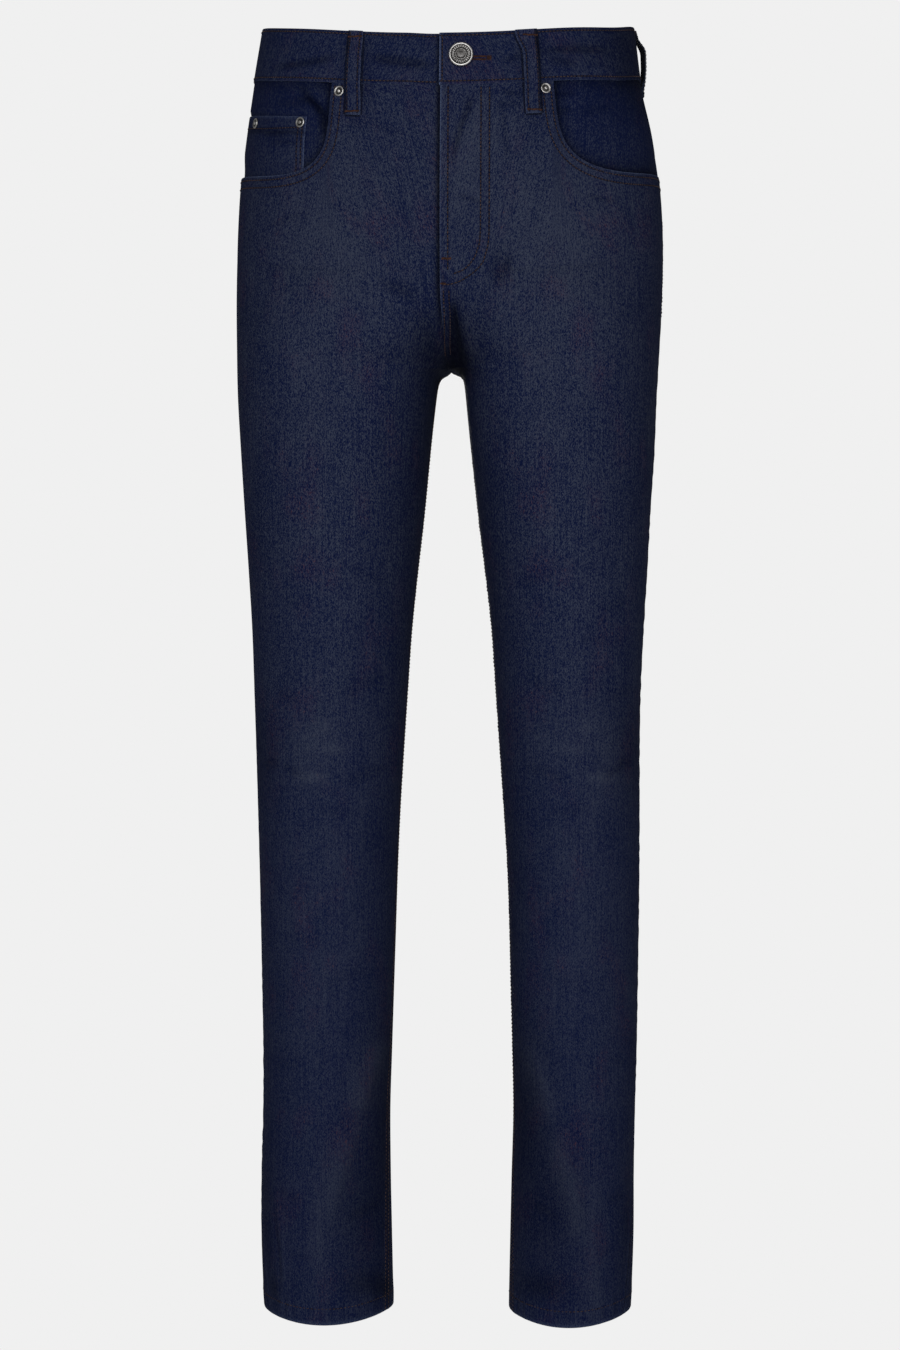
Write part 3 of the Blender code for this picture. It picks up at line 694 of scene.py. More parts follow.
def opening(down):
    """How far the section has closed from a half oval into the ring of one leg, in radians."""
    return math.pi / 2 * np.clip((down - SPLIT) / (CROTCH - SPLIT), 0, 1)


def roundness(down):
    """Power of the oval: below one is squarer."""
    return TORSO_POWER + (1 - TORSO_POWER) * eased((down - ROUND_FROM) / ROUND_OVER)


def end_height(down, name, hook):
    """Height of the inner end of a section: the centre seam, then the inseam."""
    straight = column(RISE, name, np.minimum(down, SPLIT)) / 1000
    hooked = CROTCH_Z + hook * (1 - np.sin(opening(down)))
    lag = (CROTCH + CROTCH_Z) * (1 - eased((down - CROTCH) / LEVEL_OVER))
    leg = lag - down
    return np.where(down <= SPLIT, straight, np.where(down <= CROTCH, hooked, leg))


def section(side, down):
    """Half oval or leg ring: its middle, its half width and the widening just under the crotch."""
    out, inner = [
        np.where(side > 0, column(SECTION, "left" + end, down), column(SECTION, "right" + end, down)) / 1000
        for end in ("_out", "_in")
    ]
    below = np.maximum(down - CROTCH, 0)
    ring_in = inner * eased(below / DRAW_IN_OVER)
    widening = (inner - ring_in) * (1 - np.exp(-below / WEB_OVER))
    share = np.sin(opening(down)) ** roundness(down)
    torso_half = out / (1 + share)
    is_leg = down >= CROTCH
    half = np.where(is_leg, (out - ring_in) / 2, torso_half)
    middle = np.where(is_leg, (out + ring_in) / 2, torso_half * share)
    return middle, half, widening


def base(side, angle, down):
    """Point of the bare outer surface; past a centre seam it goes on to the other half."""
    reach = math.pi / 2 + opening(down)
    crossed = (down < CROTCH) & (np.abs(angle) > reach)
    angle = np.where(crossed, np.sign(angle) * 2 * reach - angle, angle)
    side = np.where(crossed, -side, side)
    middle, half, widening = section(side, down)
    power = roundness(down)
    cos = np.cos(angle)
    sin = np.sin(angle)
    x = middle + half * np.sign(cos) * np.abs(cos) ** power + widening * ((1 - cos) / 2) ** WEB_POWER
    front = column(SECTION, "front", down) / 1000
    back = column(SECTION, "back", down) / 1000
    y = (back - front) / 2 + (back + front) / 2 * np.sign(sin) * np.abs(sin) ** power
    ends = np.where(
        angle < 0,
        end_height(down, "front_z", FRONT_HOOK),
        end_height(down, "back_z", BACK_HOOK),
    )
    droop = HEM_DROOP * eased((down - DROOP_FROM) / DROOP_OVER) * sin**2
    dip = np.where(side > 0, DIP_DEPTH[1], DIP_DEPTH[-1]) * eased((DIP_END - down) / DIP_OVER)
    dip = dip * bell(np.degrees(angle) - DIP_ANGLE, DIP_WIDTH)
    z = (ends + down) * 0.5 * (1 - np.cos(math.pi * angle / reach)) - down - droop - dip
    return np.stack(np.broadcast_arrays(side * x, y, z), axis=-1)


def normal(side, angle, down):
    """Outward direction of the bare surface."""
    step_angle = 0.02
    step_down = 0.002
    around = base(side, angle + step_angle, down) - base(side, angle - step_angle, down)
    along = base(side, angle, down + step_down) - base(side, angle, down - step_down)
    out = np.cross(along, around) * np.asarray(side)[..., None]
    return unit(out)


def folds(side, angle, down):
    """Height of the large soft folds over the bare surface."""
    total = np.zeros(np.broadcast(side, angle, down).shape)
    for i in range(len(FOLDS)):
        start = np.array([math.radians(FOLD["from_angle"][i]) * FOLD_ROUND, FOLD["from_down"][i] / 1000])
        end = np.array([math.radians(FOLD["to_angle"][i]) * FOLD_ROUND, FOLD["to_down"][i] / 1000])
        run = end - start
        across = angle * FOLD_ROUND - start[0]
        below = down - start[1]
        along = np.clip((across * run[0] + below * run[1]) / (run @ run), 0, 1)
        gap = np.hypot(across - along * run[0], below - along * run[1])
        body = bell(gap * 1000, FOLD["half_width"][i])
        faded = eased(along / FOLD_FADE) * eased((1 - along) / FOLD_FADE)
        total = total + FOLD["height"][i] / 1000 * body * faded * (np.asarray(side) == FOLD["side"][i])
    return total


def creases(source, points):
    """Height of the small creases in one view, at points of the bare surface."""
    x = points[..., 0] * 1000
    z = points[..., 2] * 1000
    total = np.zeros(x.shape)
    for i in range(len(source["x0"])):
        run_x = source["x1"][i] - source["x0"][i]
        run_z = source["z1"][i] - source["z0"][i]
        length = math.hypot(run_x, run_z)
        off_x = x - source["x0"][i]
        off_z = z - source["z0"][i]
        along = (off_x * run_x + off_z * run_z) / length**2
        across = (off_x * run_z - off_z * run_x) / length - source["bow"][i] * 4 * along * (1 - along)
        width = source["half_width"][i] * np.where(across > 0, 1.0, source["sharp"][i])
        faded = eased(along / FOLD_FADE) * eased((1 - along) / FOLD_FADE)
        total += source["height"][i] * bell(across, width) * faded
    return total / 1000


def patches(source, points):
    """Strength of soft patches in one view, at points of the bare surface."""
    total = np.zeros(points.shape[:-1])
    for i in range(len(source["x"])):
        off_x = (points[..., 0] * 1000 - source["x"][i]) / source["half_x"][i]
        off_z = (points[..., 2] * 1000 - source["z"][i]) / source["half_z"][i]
        total += source["strength"][i] * np.exp(-(off_x**2) - off_z**2)
    return total


def faces_front(angle):
    """One in front and zero behind, through the sides."""
    return eased(-np.sin(angle) / SIDE_BLEND)


def faces_back(angle):
    """One behind and zero in front, through the sides."""
    return eased(np.sin(angle) / SIDE_BLEND)


def wave(along, length, seed):
    """Uneven ripple along a seam."""
    turn = along * 2 * math.pi
    phase = seed * 2.399
    slow = 0.65 + 0.35 * np.sin(turn / (length * 4.3) + phase * 1.7)
    quick = np.sin(turn / length + phase + 1.3 * np.sin(turn / (length * 3.1) + phase))
    return slow * quick


def nearest(line, points):
    """Distance from points to a dense line, and the length along it."""
    length = lengths_along(line)
    flat = points.reshape(-1, 3)
    best = np.empty(len(flat))
    place = np.empty(len(flat))
    for start in range(0, len(flat), NEAREST_BATCH):
        part = flat[start : start + NEAREST_BATCH]
        squares = (part**2).sum(1)[:, None] + (line**2).sum(1)[None, :] - 2 * part @ line.T
        index = squares.argmin(1)
        best[start : start + NEAREST_BATCH] = np.sqrt(np.maximum(squares[np.arange(len(part)), index], 0))
        place[start : start + NEAREST_BATCH] = length[index]
    return best.reshape(points.shape[:-1]), place.reshape(points.shape[:-1])


def nudged(side, angle, down, distance):
    """Angle moved by a distance along the cloth."""
    step = 0.01
    span = np.linalg.norm(base(side, angle + step, down) - base(side, angle - step, down), axis=-1)
    return angle + distance * 2 * step / np.maximum(span, 1e-5)


def angle_at(side, x, down):
    """Angle on the front of the torso of the point at this x, also a little past the centre seam."""
    crossed = side * x < 0
    middle, half, _ = section(np.where(crossed, -side, side), down)
    q = (np.abs(x) - middle) / half
    angle = -np.arccos(np.clip(np.sign(q) * np.abs(q) ** (1 / roundness(down)), -1, 1))
    return np.where(crossed, -2 * (math.pi / 2 + opening(down)) - angle, angle)


def behind_at(side, x, down):
    """Angle on the back of the torso of the point at this x."""
    middle, half, _ = section(side, down)
    q = (np.abs(x) - middle) / half
    return np.arccos(np.clip(np.sign(q) * np.abs(q) ** (1 / roundness(down)), -1, 1))


def side_seam(down):
    """Angle of the side seam."""
    return np.radians(column(SEAM, "side_seam", down))


def front_end(down):
    """Angle of the centre front seam, then of the inseam reached from the front."""
    inseam = -math.pi + np.radians(column(SEAM, "inseam", down))
    return np.where(down < CROTCH, -math.pi / 2 - opening(down), inseam)


def back_end(down):
    """Angle of the centre back seam, then of the inseam reached from the back."""
    inseam = math.pi + np.radians(column(SEAM, "inseam", down))
    return np.where(down < CROTCH, math.pi / 2 + opening(down), inseam)


def pocket_edge(side, u):
    """Angle and length down along the pocket opening, evenly from the waist seam to the side seam."""
    turn = np.linspace(0, math.pi / 2, 361)
    share = np.cos(turn) ** (2 / POCKET_POWER[side])
    down = BAND_BOTTOM + POCKET_DEPTH * np.sin(turn) ** (2 / POCKET_POWER[side])
    corner = angle_at(side, side * POCKET_CORNER_X, BAND_BOTTOM)
    edge = side_seam(down)
    angle = edge + (corner - edge) * share
    length = lengths_along(base(side, angle, down))
    return np.interp(u * length[-1], length, angle), np.interp(u * length[-1], length, down)


def yoke_seam(share):
    """Length down of the yoke's lower seam, from the side seam to the centre back."""
    return YOKE_DEPTH + YOKE_DROP * share


def hem_depth(down):
    """Thickness of a leg panel, more where the hem is turned up."""
    return WALL + HEM_EXTRA * eased((down - (HEM - HEM_TURN - HEM_STEP)) / HEM_STEP)


def behind_line(down, share):
    """Angle at a share of the way from the side seam to the centre back seam, then to the inseam."""
    return side_seam(down) + (back_end(down) - side_seam(down)) * share


def dense(side, angle, down):
    """Bare line through places given by angle and length down."""
    angle = np.asarray(angle, float)
    down = np.asarray(down, float)
    return base(np.full(angle.shape, side), angle, down)


def seam_lines():
    """Seams that pull the cloth: line, reach and height of the ripple, its length."""
    leg = np.linspace(CROTCH + 0.004, HEM - 0.002, 260)
    upper = np.linspace(BAND_BOTTOM + POCKET_DEPTH, HEM - 0.002, 300)
    rise = np.linspace(BAND_BOTTOM, CROTCH - 0.004, 120)
    below = np.linspace(FLY_END - 0.012, CROTCH - 0.004, 70)
    share = np.linspace(0, 1, 90)
    yoke = yoke_seam(share)
    hem_turn = np.linspace(-math.pi, math.pi, 240)
    band_turn = np.linspace(-math.pi / 2, math.pi / 2, 200)
    lines = []
    for side in (-1, 1):
        for seam, angle, down in (
            ("inseam", front_end(leg), leg),
            ("side", side_seam(upper), upper),
            ("pocket", *pocket_edge(side, share)),
            ("yoke", behind_line(yoke, share), yoke),
            ("hem", hem_turn, np.full(240, HEM - 0.010)),
            ("band", band_turn, np.full(200, BAND_BOTTOM + 0.004)),
        ):
            lines.append((dense(side, angle, down), *PUCKERS[seam]))
    lines.append((dense(1, back_end(rise), rise), *PUCKERS["seat"]))
    lines.append((dense(1, front_end(below), below), *PUCKERS["fly"]))
    return lines


SEAM_LINES = seam_lines()


def puckers(points):
    """Height of the ripples that the sewing pulls into the cloth beside each seam."""
    total = np.zeros(points.shape[:-1])
    for seed, (line, reach, height, length) in enumerate(SEAM_LINES):
        low = line.min(0) - 3 * reach
        high = line.max(0) + 3 * reach
        near = ((points >= low) & (points <= high)).all(-1)
        if near.any():
            gap, along = nearest(line, points[near])
            total[near] += height * wave(along, length, seed) * bell(gap, reach)
    return total


def relief(side, angle, down):
    """Height of every fold, crease and ripple over the bare surface."""
    points = base(side, angle, down)
    small = creases(CREASE_FRONT, points) * faces_front(angle)
    small = small + creases(CREASE_BACK, points) * faces_back(angle)
    drawn_in = np.where(np.asarray(side) > 0, BAND_DRAWN_IN, 0.0)
    drawn_in = drawn_in * (1 - eased((down - DRAWN_IN_TO) / DRAWN_IN_OVER))
    return folds(side, angle, down) + small + puckers(points) - drawn_in * bell(angle, DRAWN_IN_ROUND)


def skin(side, angle, down, out):
    """Point at a distance outside the creased surface, and its outward direction."""
    side, angle, down, out = np.broadcast_arrays(side, angle, down, out)
    away = normal(side, angle, down)
    lift = out + relief(side, angle, down)
    return base(side, angle, down) + away * lift[..., None], away


def with_borders(values):
    """Grid with one more row and column close inside each edge."""
    for _ in range(2):
        first = values[:1] * (1 - BORDER_SHARE) + values[1:2] * BORDER_SHARE
        last = values[-1:] * (1 - BORDER_SHARE) + values[-2:-1] * BORDER_SHARE
        values = np.concatenate([values[:1], first, values[1:-1], last, values[-1:]]).T
    return values


def mesh_object(name, points, faces, uvs, wear_and_shade, materials, indices):
    """Smooth mesh with cloth coordinates in metres, painted wear and painted shade."""
    mesh = bpy.data.meshes.new(name)
    mesh.from_pydata(points.tolist(), [], faces.tolist() if isinstance(faces, np.ndarray) else faces)
    for each in materials:
        mesh.materials.append(each)
    mesh.polygons.foreach_set("material_index", np.asarray(indices, np.int32))
    mesh.polygons.foreach_set("use_smooth", np.ones(len(mesh.polygons), bool))
    corner = np.empty(len(mesh.loops), np.int32)
    mesh.loops.foreach_get("vertex_index", corner)
    layer = mesh.uv_layers.new(name="cloth")
    layer.data.foreach_set("uv", uvs[corner].astype(np.float32).ravel())
    paint = mesh.color_attributes.new("wear_and_shade", "FLOAT_COLOR", "POINT")
    paint.data.foreach_set("color", wear_and_shade.astype(np.float32).ravel())
    mesh.update()
    made = bpy.data.objects.new(name, mesh)
    bpy.context.scene.collection.objects.link(made)
    return made


def cloth_coordinates(side, angles, downs, outer, plumb):
    """Metres across and along the weave, hanging from a vertical line or laid along the piece."""
    rows, columns = angles.shape
    steps = np.linalg.norm(np.diff(outer, axis=1), axis=-1)
    across = np.concatenate([np.zeros((rows, 1)), np.cumsum(steps, axis=1)], axis=1)
    if plumb is None:
        across -= across[:, columns // 2][:, None]
        return np.stack([across, -downs], axis=-1)
    reach = np.abs(outer[..., 0])
    growing = reach[rows // 2, -1] > reach[rows // 2, 0]
    for row in range(rows):
        order = slice(None) if growing else slice(None, None, -1)
        zero = np.interp(plumb, np.maximum.accumulate(reach[row, order]), across[row, order])
        across[row] = (across[row] - zero) * (1 if growing else -1)
    handed = side * (1 if angles.mean() < 0 else -1)
    return np.stack([across * handed, outer[..., 2]], axis=-1)


def edge_lines(grid):
    """Each edge of a grid with the line next to it: top, bottom, first and last column."""
    return (grid[0], grid[1]), (grid[-1], grid[-2]), (grid[:, 0], grid[:, 1]), (grid[:, -1], grid[:, -2])


def closed_grid(side, outer, inner):
    """Thin body between two grids: points, faces outside, inside and round the rim, and the rim's places."""
    rows, columns = side.shape
    count = rows * columns
    flat = np.arange(count).reshape(rows, columns)
    rim = np.concatenate([flat[0, :], flat[1:, -1], flat[-1, -2::-1], flat[-2:0:-1, 0]])
    step_in = np.concatenate([flat[1, :], flat[1:, -2], flat[-2, -2::-1], flat[-2:0:-1, 1]])
    outer = outer.reshape(-1, 3)
    inner = inner.reshape(-1, 3)
    width = np.linalg.norm(outer[rim] - inner[rim], axis=1, keepdims=True)
    middle = (outer[rim] + inner[rim]) / 2 + unit(outer[rim] - outer[step_in]) * width * RIM_BULGE
    quads = np.stack([flat[:-1, :-1], flat[1:, :-1], flat[1:, 1:], flat[:-1, 1:]], axis=-1).reshape(-1, 4)
    forward = (side[:-1, :-1] > 0).reshape(-1)
    quads = np.where(forward[:, None], quads, quads[:, ::-1])
    after = np.roll(rim, -1)
    mid = np.arange(len(rim)) + 2 * count
    mid_after = np.roll(mid, -1)
    upper = np.stack([rim, after, mid_after, mid], axis=-1)
    lower = np.stack([mid, mid_after, after + count, rim + count], axis=-1)
    border = np.vstack([upper, lower])
    if side[0, 0] < 0:
        border = border[:, ::-1]
    return np.vstack([outer, inner, middle]), (quads, quads[:, ::-1] + count, border), rim


def cloth_paint(side, angles, downs, edge_wear, tone, dark):
    """Painted wear and painted shade of a grid: fading, rubbed edges, painted shade, and how crisp the weave
    shows.
    """
    bare = base(side, angles, downs)
    front = faces_front(angles)
    ridge = (relief(side, angles, downs) - folds(side, angles, downs)) * 1000
    fade = patches(PATCH_FRONT, bare) * front + patches(PATCH_BACK, bare) * faces_back(angles) + tone
    fade = fade + np.clip(ridge * RIDGE_FADE, -0.20, 0.40)
    # Painted shade: the dark patches, the dark lines and patches passed in, and more in every crease's
    # hollow
    shade = patches(PAINTED_SHADE_FRONT, bare) * front + dark
    shade = shade + np.clip(-ridge * HOLLOW_SHADE - 0.04, 0, 0.45)
    worn = np.zeros(angles.shape)
    for (edge, inside), level, share in zip(edge_lines(worn), edge_wear, WEAR_INSIDE):
        if callable(level):
            level = level(np.arange(len(edge)) / (len(edge) - 1))
        np.maximum(edge, level, out=edge)
        np.maximum(inside, level * share, out=inside)
    crisp = 1.0 - LEG_SOFTNESS * eased((downs - SOFT_FROM) / SOFT_OVER)
    return np.stack([np.clip(fade, 0, 1.2), worn, np.clip(shade, 0, 1), crisp], axis=-1).reshape(-1, 4)


def shell(
    name, side, angles, downs, outs, thick, materials,
    edge_wear=(0, 0, 0, 0), sink=(1, 1, 1, 1), tone=0.0, dark=0.0, plumb=None,
):
    """Thin closed cloth over a grid; the four edges are top, bottom, first and last column; dark is painted
    shade.
    """
    side, angles, downs, outs, thick, dark = [
        with_borders(np.array(each, float))
        for each in np.broadcast_arrays(side, angles, downs, outs, thick, dark)
    ]
    side = np.where(side > 0, 1, -1)
    drop = np.zeros(angles.shape)
    for (edge, inside), share in zip(edge_lines(drop), sink):
        np.maximum(edge, EDGE_ROLL * share, out=edge)
        np.maximum(inside, EDGE_ROLL * NEXT_ROLL * share, out=inside)
    surface, away = skin(side, angles, downs, outs)
    outer = surface - away * drop[..., None]
    inner = surface - away * thick[..., None] + away * np.minimum(drop, thick * INSIDE_ROLL)[..., None]
    for part in (outer, inner):
        low = (downs > CROTCH - FORK_DEPTH) & (side * part[..., 0] < TOUCH)
        part[low, 0] = side[low] * TOUCH
    points, faces, rim = closed_grid(side, outer, inner)
    uv = cloth_coordinates(side, angles, downs, outer, plumb).reshape(-1, 2)
    paint = cloth_paint(side, angles, downs, edge_wear, tone, dark)
    uvs = np.vstack([uv, uv, uv[rim]])
    wear_and_shade = np.vstack([paint, paint * [1, INSIDE_WEAR, 1, 1], paint[rim]])
    indices = np.repeat([0, 1, 0], [len(part) for part in faces])
    made = mesh_object(name, points, np.vstack(faces), uvs, wear_and_shade, materials, indices)
    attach(made, "root")
    return made


def leg_rows():
    """Lengths down of the rows from the join with the seat to the hem."""
    seat = np.linspace(MERGE + 0.0035, CROTCH, 30)
    under = CROTCH + np.array([0.0010, 0.0025, 0.0042, 0.0065, 0.0095])
    leg = np.linspace(CROTCH + 0.013, HEM - HEM_TURN - 2 * HEM_STEP, 240)
    hem = HEM - np.array([HEM_TURN + HEM_STEP, HEM_TURN, 0.0105, 0.0070, 0.0035, 0.0])
    return np.concatenate([seat, under, leg, hem])


def fanned(waist, u, corner, merge):
    """Shares across the panel under the pocket, the opening's steep part staying inside its corner."""
    first = (corner - math.radians(6) - front_end(merge)) / (side_seam(merge) - front_end(merge))
    steep = 0.10 * np.minimum(u / POCKET_TURN, 1)
    turned = steep + 0.90 * np.maximum(u - POCKET_TURN, 0) / (1 - POCKET_TURN)
    return np.concatenate([first * waist, first + (1 - first) * turned])


def front_grid(side):
    """Angles, lengths down and depths of a front leg panel, cut away at the pocket and lapped at the fly."""
    fine = 7
    waist_columns = 6 * fine
    pocket_columns = 9 * fine
    top = BAND_BOTTOM - BAND_TUCK
    corner, _ = pocket_edge(side, np.array(0.0))
    end = front_end(top)
    waist = np.linspace(0, 1, waist_columns + 1)
    u = np.linspace(0, 1, pocket_columns + 1)[1:]
    curve_angle, curve_down = pocket_edge(side, u)
    top_angle = np.concatenate([end + (corner - end) * waist, curve_angle])
    top_down = np.concatenate([np.full(waist_columns + 1, top), curve_down])
    across = np.linspace(0, 1, len(top_angle)) ** COLUMN_CROWDING
    gathered = fanned(waist, u, corner, MERGE)
    merge_angle = front_end(MERGE) + (side_seam(MERGE) - front_end(MERGE)) * gathered
    rows = []
    for v in np.linspace(0, 1, 62):
        rows.append((top_angle + (merge_angle - top_angle) * v, top_down + (MERGE - top_down) * v))
    for down in leg_rows():
        start = front_end(down)
        shares = gathered + (across - gathered) * eased((down - MERGE) / (CROTCH - MERGE))
        rows.append((start + (side_seam(down) - start) * shares, np.full(len(across), down)))
    angles = np.array([row[0] for row in rows])
    downs = np.array([row[1] for row in rows])
    angles[:, -1] = nudged(side, side_seam(downs[:, -1]), downs[:, -1], -TOUCH)
    outs = np.zeros(angles.shape)
    ends = downs[:, 0]
    fly = ends < CROTCH
    edge_x = FLY_EDGE_X * (1 - eased((ends - FLY_END) / 0.045))
    coarse = angles[:, : 4 * fine + 1 : fine].copy()
    if side > 0:
        coarse[:, 0] = np.where(fly, angle_at(side, edge_x + TOUCH, ends), coarse[:, 0])
    else:
        under = 1 - eased((ends - (FLY_END - 0.022)) / 0.016)
        lap_x = edge_x - TOUCH + (FLY_UNDER_X - edge_x) * under
        coarse[:, 0] = np.where(fly, angle_at(side, lap_x, ends), coarse[:, 0])
        lap = 1 - eased((ends - FLY_END) / 0.03)
        for i, x in enumerate(LAP_COLUMNS_X, 1):
            wanted = angle_at(side, np.full(len(ends), x), ends)
            coarse[:, i] = np.where(fly, coarse[:, i] + (wanted - coarse[:, i]) * lap, coarse[:, i])
        depth = (WALL + LAYER_GAP) * (1 - eased((ends - (FLY_END - 0.006)) / 0.03))
        share = np.interp(np.arange(3 * fine + 1) / fine, (0, 1, 2, 3), (1, 1, 0.5, 0))
        outs[:, : 3 * fine + 1] = -depth[:, None] * share
    for j in range(4 * fine):
        low = j // fine
        share = j / fine - low
        mixed = coarse[:, low] * (1 - share) + coarse[:, low + 1] * share
        angles[:, j] = np.where(fly, mixed, angles[:, j])
    angles[~fly, 0] = nudged(side, angles[~fly, 0], ends[~fly], TOUCH)
    return angles, downs, outs


def lap_shadow(side, angles, downs):
    """Painted shadow on a front panel: beside the lapped fly on the right one, and along the low side seam,
    with a lighter painted line a little inside it.
    """
    gap = (side_seam(downs) - angles) * SIDE_ROUND
    seam = 0.60 * bell(gap, 0.0030) - 0.30 * bell(gap - 0.0075, 0.0035)
    seam = seam * eased((downs - 0.80) / 0.14)
    if side > 0:
        return seam
    points = base(np.full(angles.shape, side), angles, downs)
    off = FLY_EDGE_X - points[..., 0]
    return seam + 1.3 * bell(off, 0.0034) * (1 - eased((downs - FLY_END) / 0.05))


def behind_grid(side, rows):
    """Grid between the side seam and the centre back, then the inseam, a touch short of each."""
    downs = np.array(rows)
    angles = behind_line(downs, np.linspace(0, 1, BEHIND_COLUMNS))
    angles[:, 0] = nudged(side, angles[:, 0], downs[:, 0], TOUCH)
    angles[:, -1] = nudged(side, angles[:, -1], downs[:, -1], -TOUCH)
    return angles, downs


def back_grid(side):
    """Back leg panel under the yoke."""
    top = yoke_seam(np.linspace(0, 1, BEHIND_COLUMNS)) + TOUCH
    seat = [top + (MERGE - top) * v for v in np.linspace(0, 1, 30)]
    return behind_grid(side, seat + [np.full(BEHIND_COLUMNS, down) for down in leg_rows()])


def yoke_grid(side):
    """Shaped piece between the waistband and the back panel."""
    top = BAND_BOTTOM - BAND_TUCK
    lower = yoke_seam(np.linspace(0, 1, BEHIND_COLUMNS))
    return behind_grid(side, [top + (lower - top) * v for v in np.linspace(0, 1, 18)])


def band_turns():
    """Places round the waistband from its visible end to the one under it: side, angle, and depth sunk."""
    start = float(angle_at(1, BAND_EDGE_X, BAND_BOTTOM / 2))
    lap = float(angle_at(1, BAND_UNDER_X, BAND_BOTTOM / 2)) + 2 * math.pi
    tail_x = (-0.030, -0.022, -0.014, -0.004, 0.008, 0.020)
    tail = [2 * math.pi + float(angle_at(1, x, BAND_BOTTOM / 2)) for x in tail_x]
    coarse = np.concatenate([np.linspace(start, tail[0], 42), tail[1:], [lap]])
    place = np.linspace(0, len(coarse) - 1, (len(coarse) - 1) * 8 + 1)
    turns = np.interp(place, np.arange(len(coarse)), coarse)
    sunk = (BAND_OUT + BAND_IN + LAYER_GAP) * eased((place - 41) / 3)
    past = turns > 3 * math.pi / 2
    crossed = (turns > math.pi / 2) & ~past
    side = np.where(crossed, -1, 1)
    angle = np.where(past, turns - 2 * math.pi, np.where(crossed, math.pi - turns, turns))
    return side, angle, sunk


def placed(x, z):
    """Side, angle and length down of front points given by x and height."""
    x = np.asarray(x, float)
    z = np.asarray(z, float)
    side = np.where(x >= 0, 1, -1)
    down = -z - 0.01
    for _ in range(14):
        angle = angle_at(side, x, down)
        down = down + base(side, angle, down)[..., 2] - z
    return side, angle_at(side, x, down), down


def frame_of(side, angle, down):
    """Changes of the bare point with angle and with length down."""
    step_angle = 0.004
    step_down = 0.0005
    around = base(side, angle + step_angle, down) - base(side, angle - step_angle, down)
    along = base(side, angle, down + step_down) - base(side, angle, down - step_down)
    return around / (2 * step_angle), along / (2 * step_down)


def moved(side, angle, down, vector):
    """Angle and length down after a small step along the cloth."""
    around, along = frame_of(side, angle, down)
    aa = (around * around).sum(-1)
    ab = (around * along).sum(-1)
    bb = (along * along).sum(-1)
    pa = (around * vector).sum(-1)
    pb = (along * vector).sum(-1)
    det = aa * bb - ab * ab
    return angle + (pa * bb - pb * ab) / det, down + (pb * aa - pa * ab) / det


def beside(side, angle, down, distance):
    """Path moved sideways over the cloth; positive is to the left of its run, seen from outside."""
    side, angle, down, distance = np.broadcast_arrays(side, angle, down, np.asarray(distance, float))
    run = unit(np.gradient(base(side, angle, down), axis=0))
    left = np.cross(normal(side, angle, down), run)
    new_angle, new_down = moved(side, angle, down, left * distance[:, None])
    return side, new_angle, new_down


# Sewing gathered for one mesh a colour and region: start, end and outward direction of each stitch
SEWING = {}
# Paths where a dark strip of painted shade is laid: under each row of sewing, and beside and under the front
# belt loops
SHADE_STRIP_PATHS = []


def add_stitches(group, starts, ends, away, radius):
    """Keep stitches for a group's mesh."""
    SEWING.setdefault(group, []).append((starts, ends, away, np.full(len(starts), radius)))


def sew(group, side, angle, down, out, radius=THREAD_RADIUS):
    """Row of even stitches along a path on the cloth."""
    side, angle, down, out = [np.array(each) for each in np.broadcast_arrays(side, angle, down, out)]
    points, away = skin(side, angle, down, out)
    total = lengths_along(points)
    if (side == side[0]).all():
        fine = np.linspace(0, total[-1], max(int(total[-1] / PATH_STEP), 2))
        angle, down, out = [np.interp(fine, total, each) for each in (angle, down, out)]
        points, away = skin(side[0], angle, down, out)
        total = lengths_along(points)
    # The row's path also gets a dark strip of painted shade under it
    SHADE_STRIP_PATHS.append((points, away))
    count = max(int(round(total[-1] / STITCH_PITCH)), 1)
    first = (np.arange(count) + 0.5) * total[-1] / count - STITCH_LENGTH / 2
    last = first + STITCH_LENGTH
    starts = picked(points, total, first)
    ends = picked(points, total, last)
    add_stitches(group, starts, ends, unit(picked(away, total, (first + last) / 2)), radius)


def tack(group, side, angle, down, out, turn, length, width, radius=TACK_RADIUS):
    """Dense zigzag block; turn is its direction in degrees from straight down, seen from outside."""
    point, away = skin(side, float(angle), float(down), float(out))
    along = unit(np.array([0.0, 0.0, -1.0]) + away * away[2])
    across = np.cross(away, along)
    way = along * math.cos(math.radians(turn)) + across * math.sin(math.radians(turn))
    cross = np.cross(away, way)
    count = max(int(length / TACK_PITCH), 4)
    place = (np.linspace(-0.5, 0.5, count) * length)[:, None]
    jitter = (np.sin(np.arange(count) * 2.7) * TACK_JITTER)[:, None]
    sign = np.where(np.arange(count) % 2 == 0, 1, -1)[:, None]
    starts = point + place * way - (width / 2 + jitter) * cross * sign
    ends = point + (place + length / count * 0.7) * way + (width / 2 - jitter) * cross * sign
    add_stitches(group, starts, ends, np.repeat(away[None, :], count, axis=0), radius)


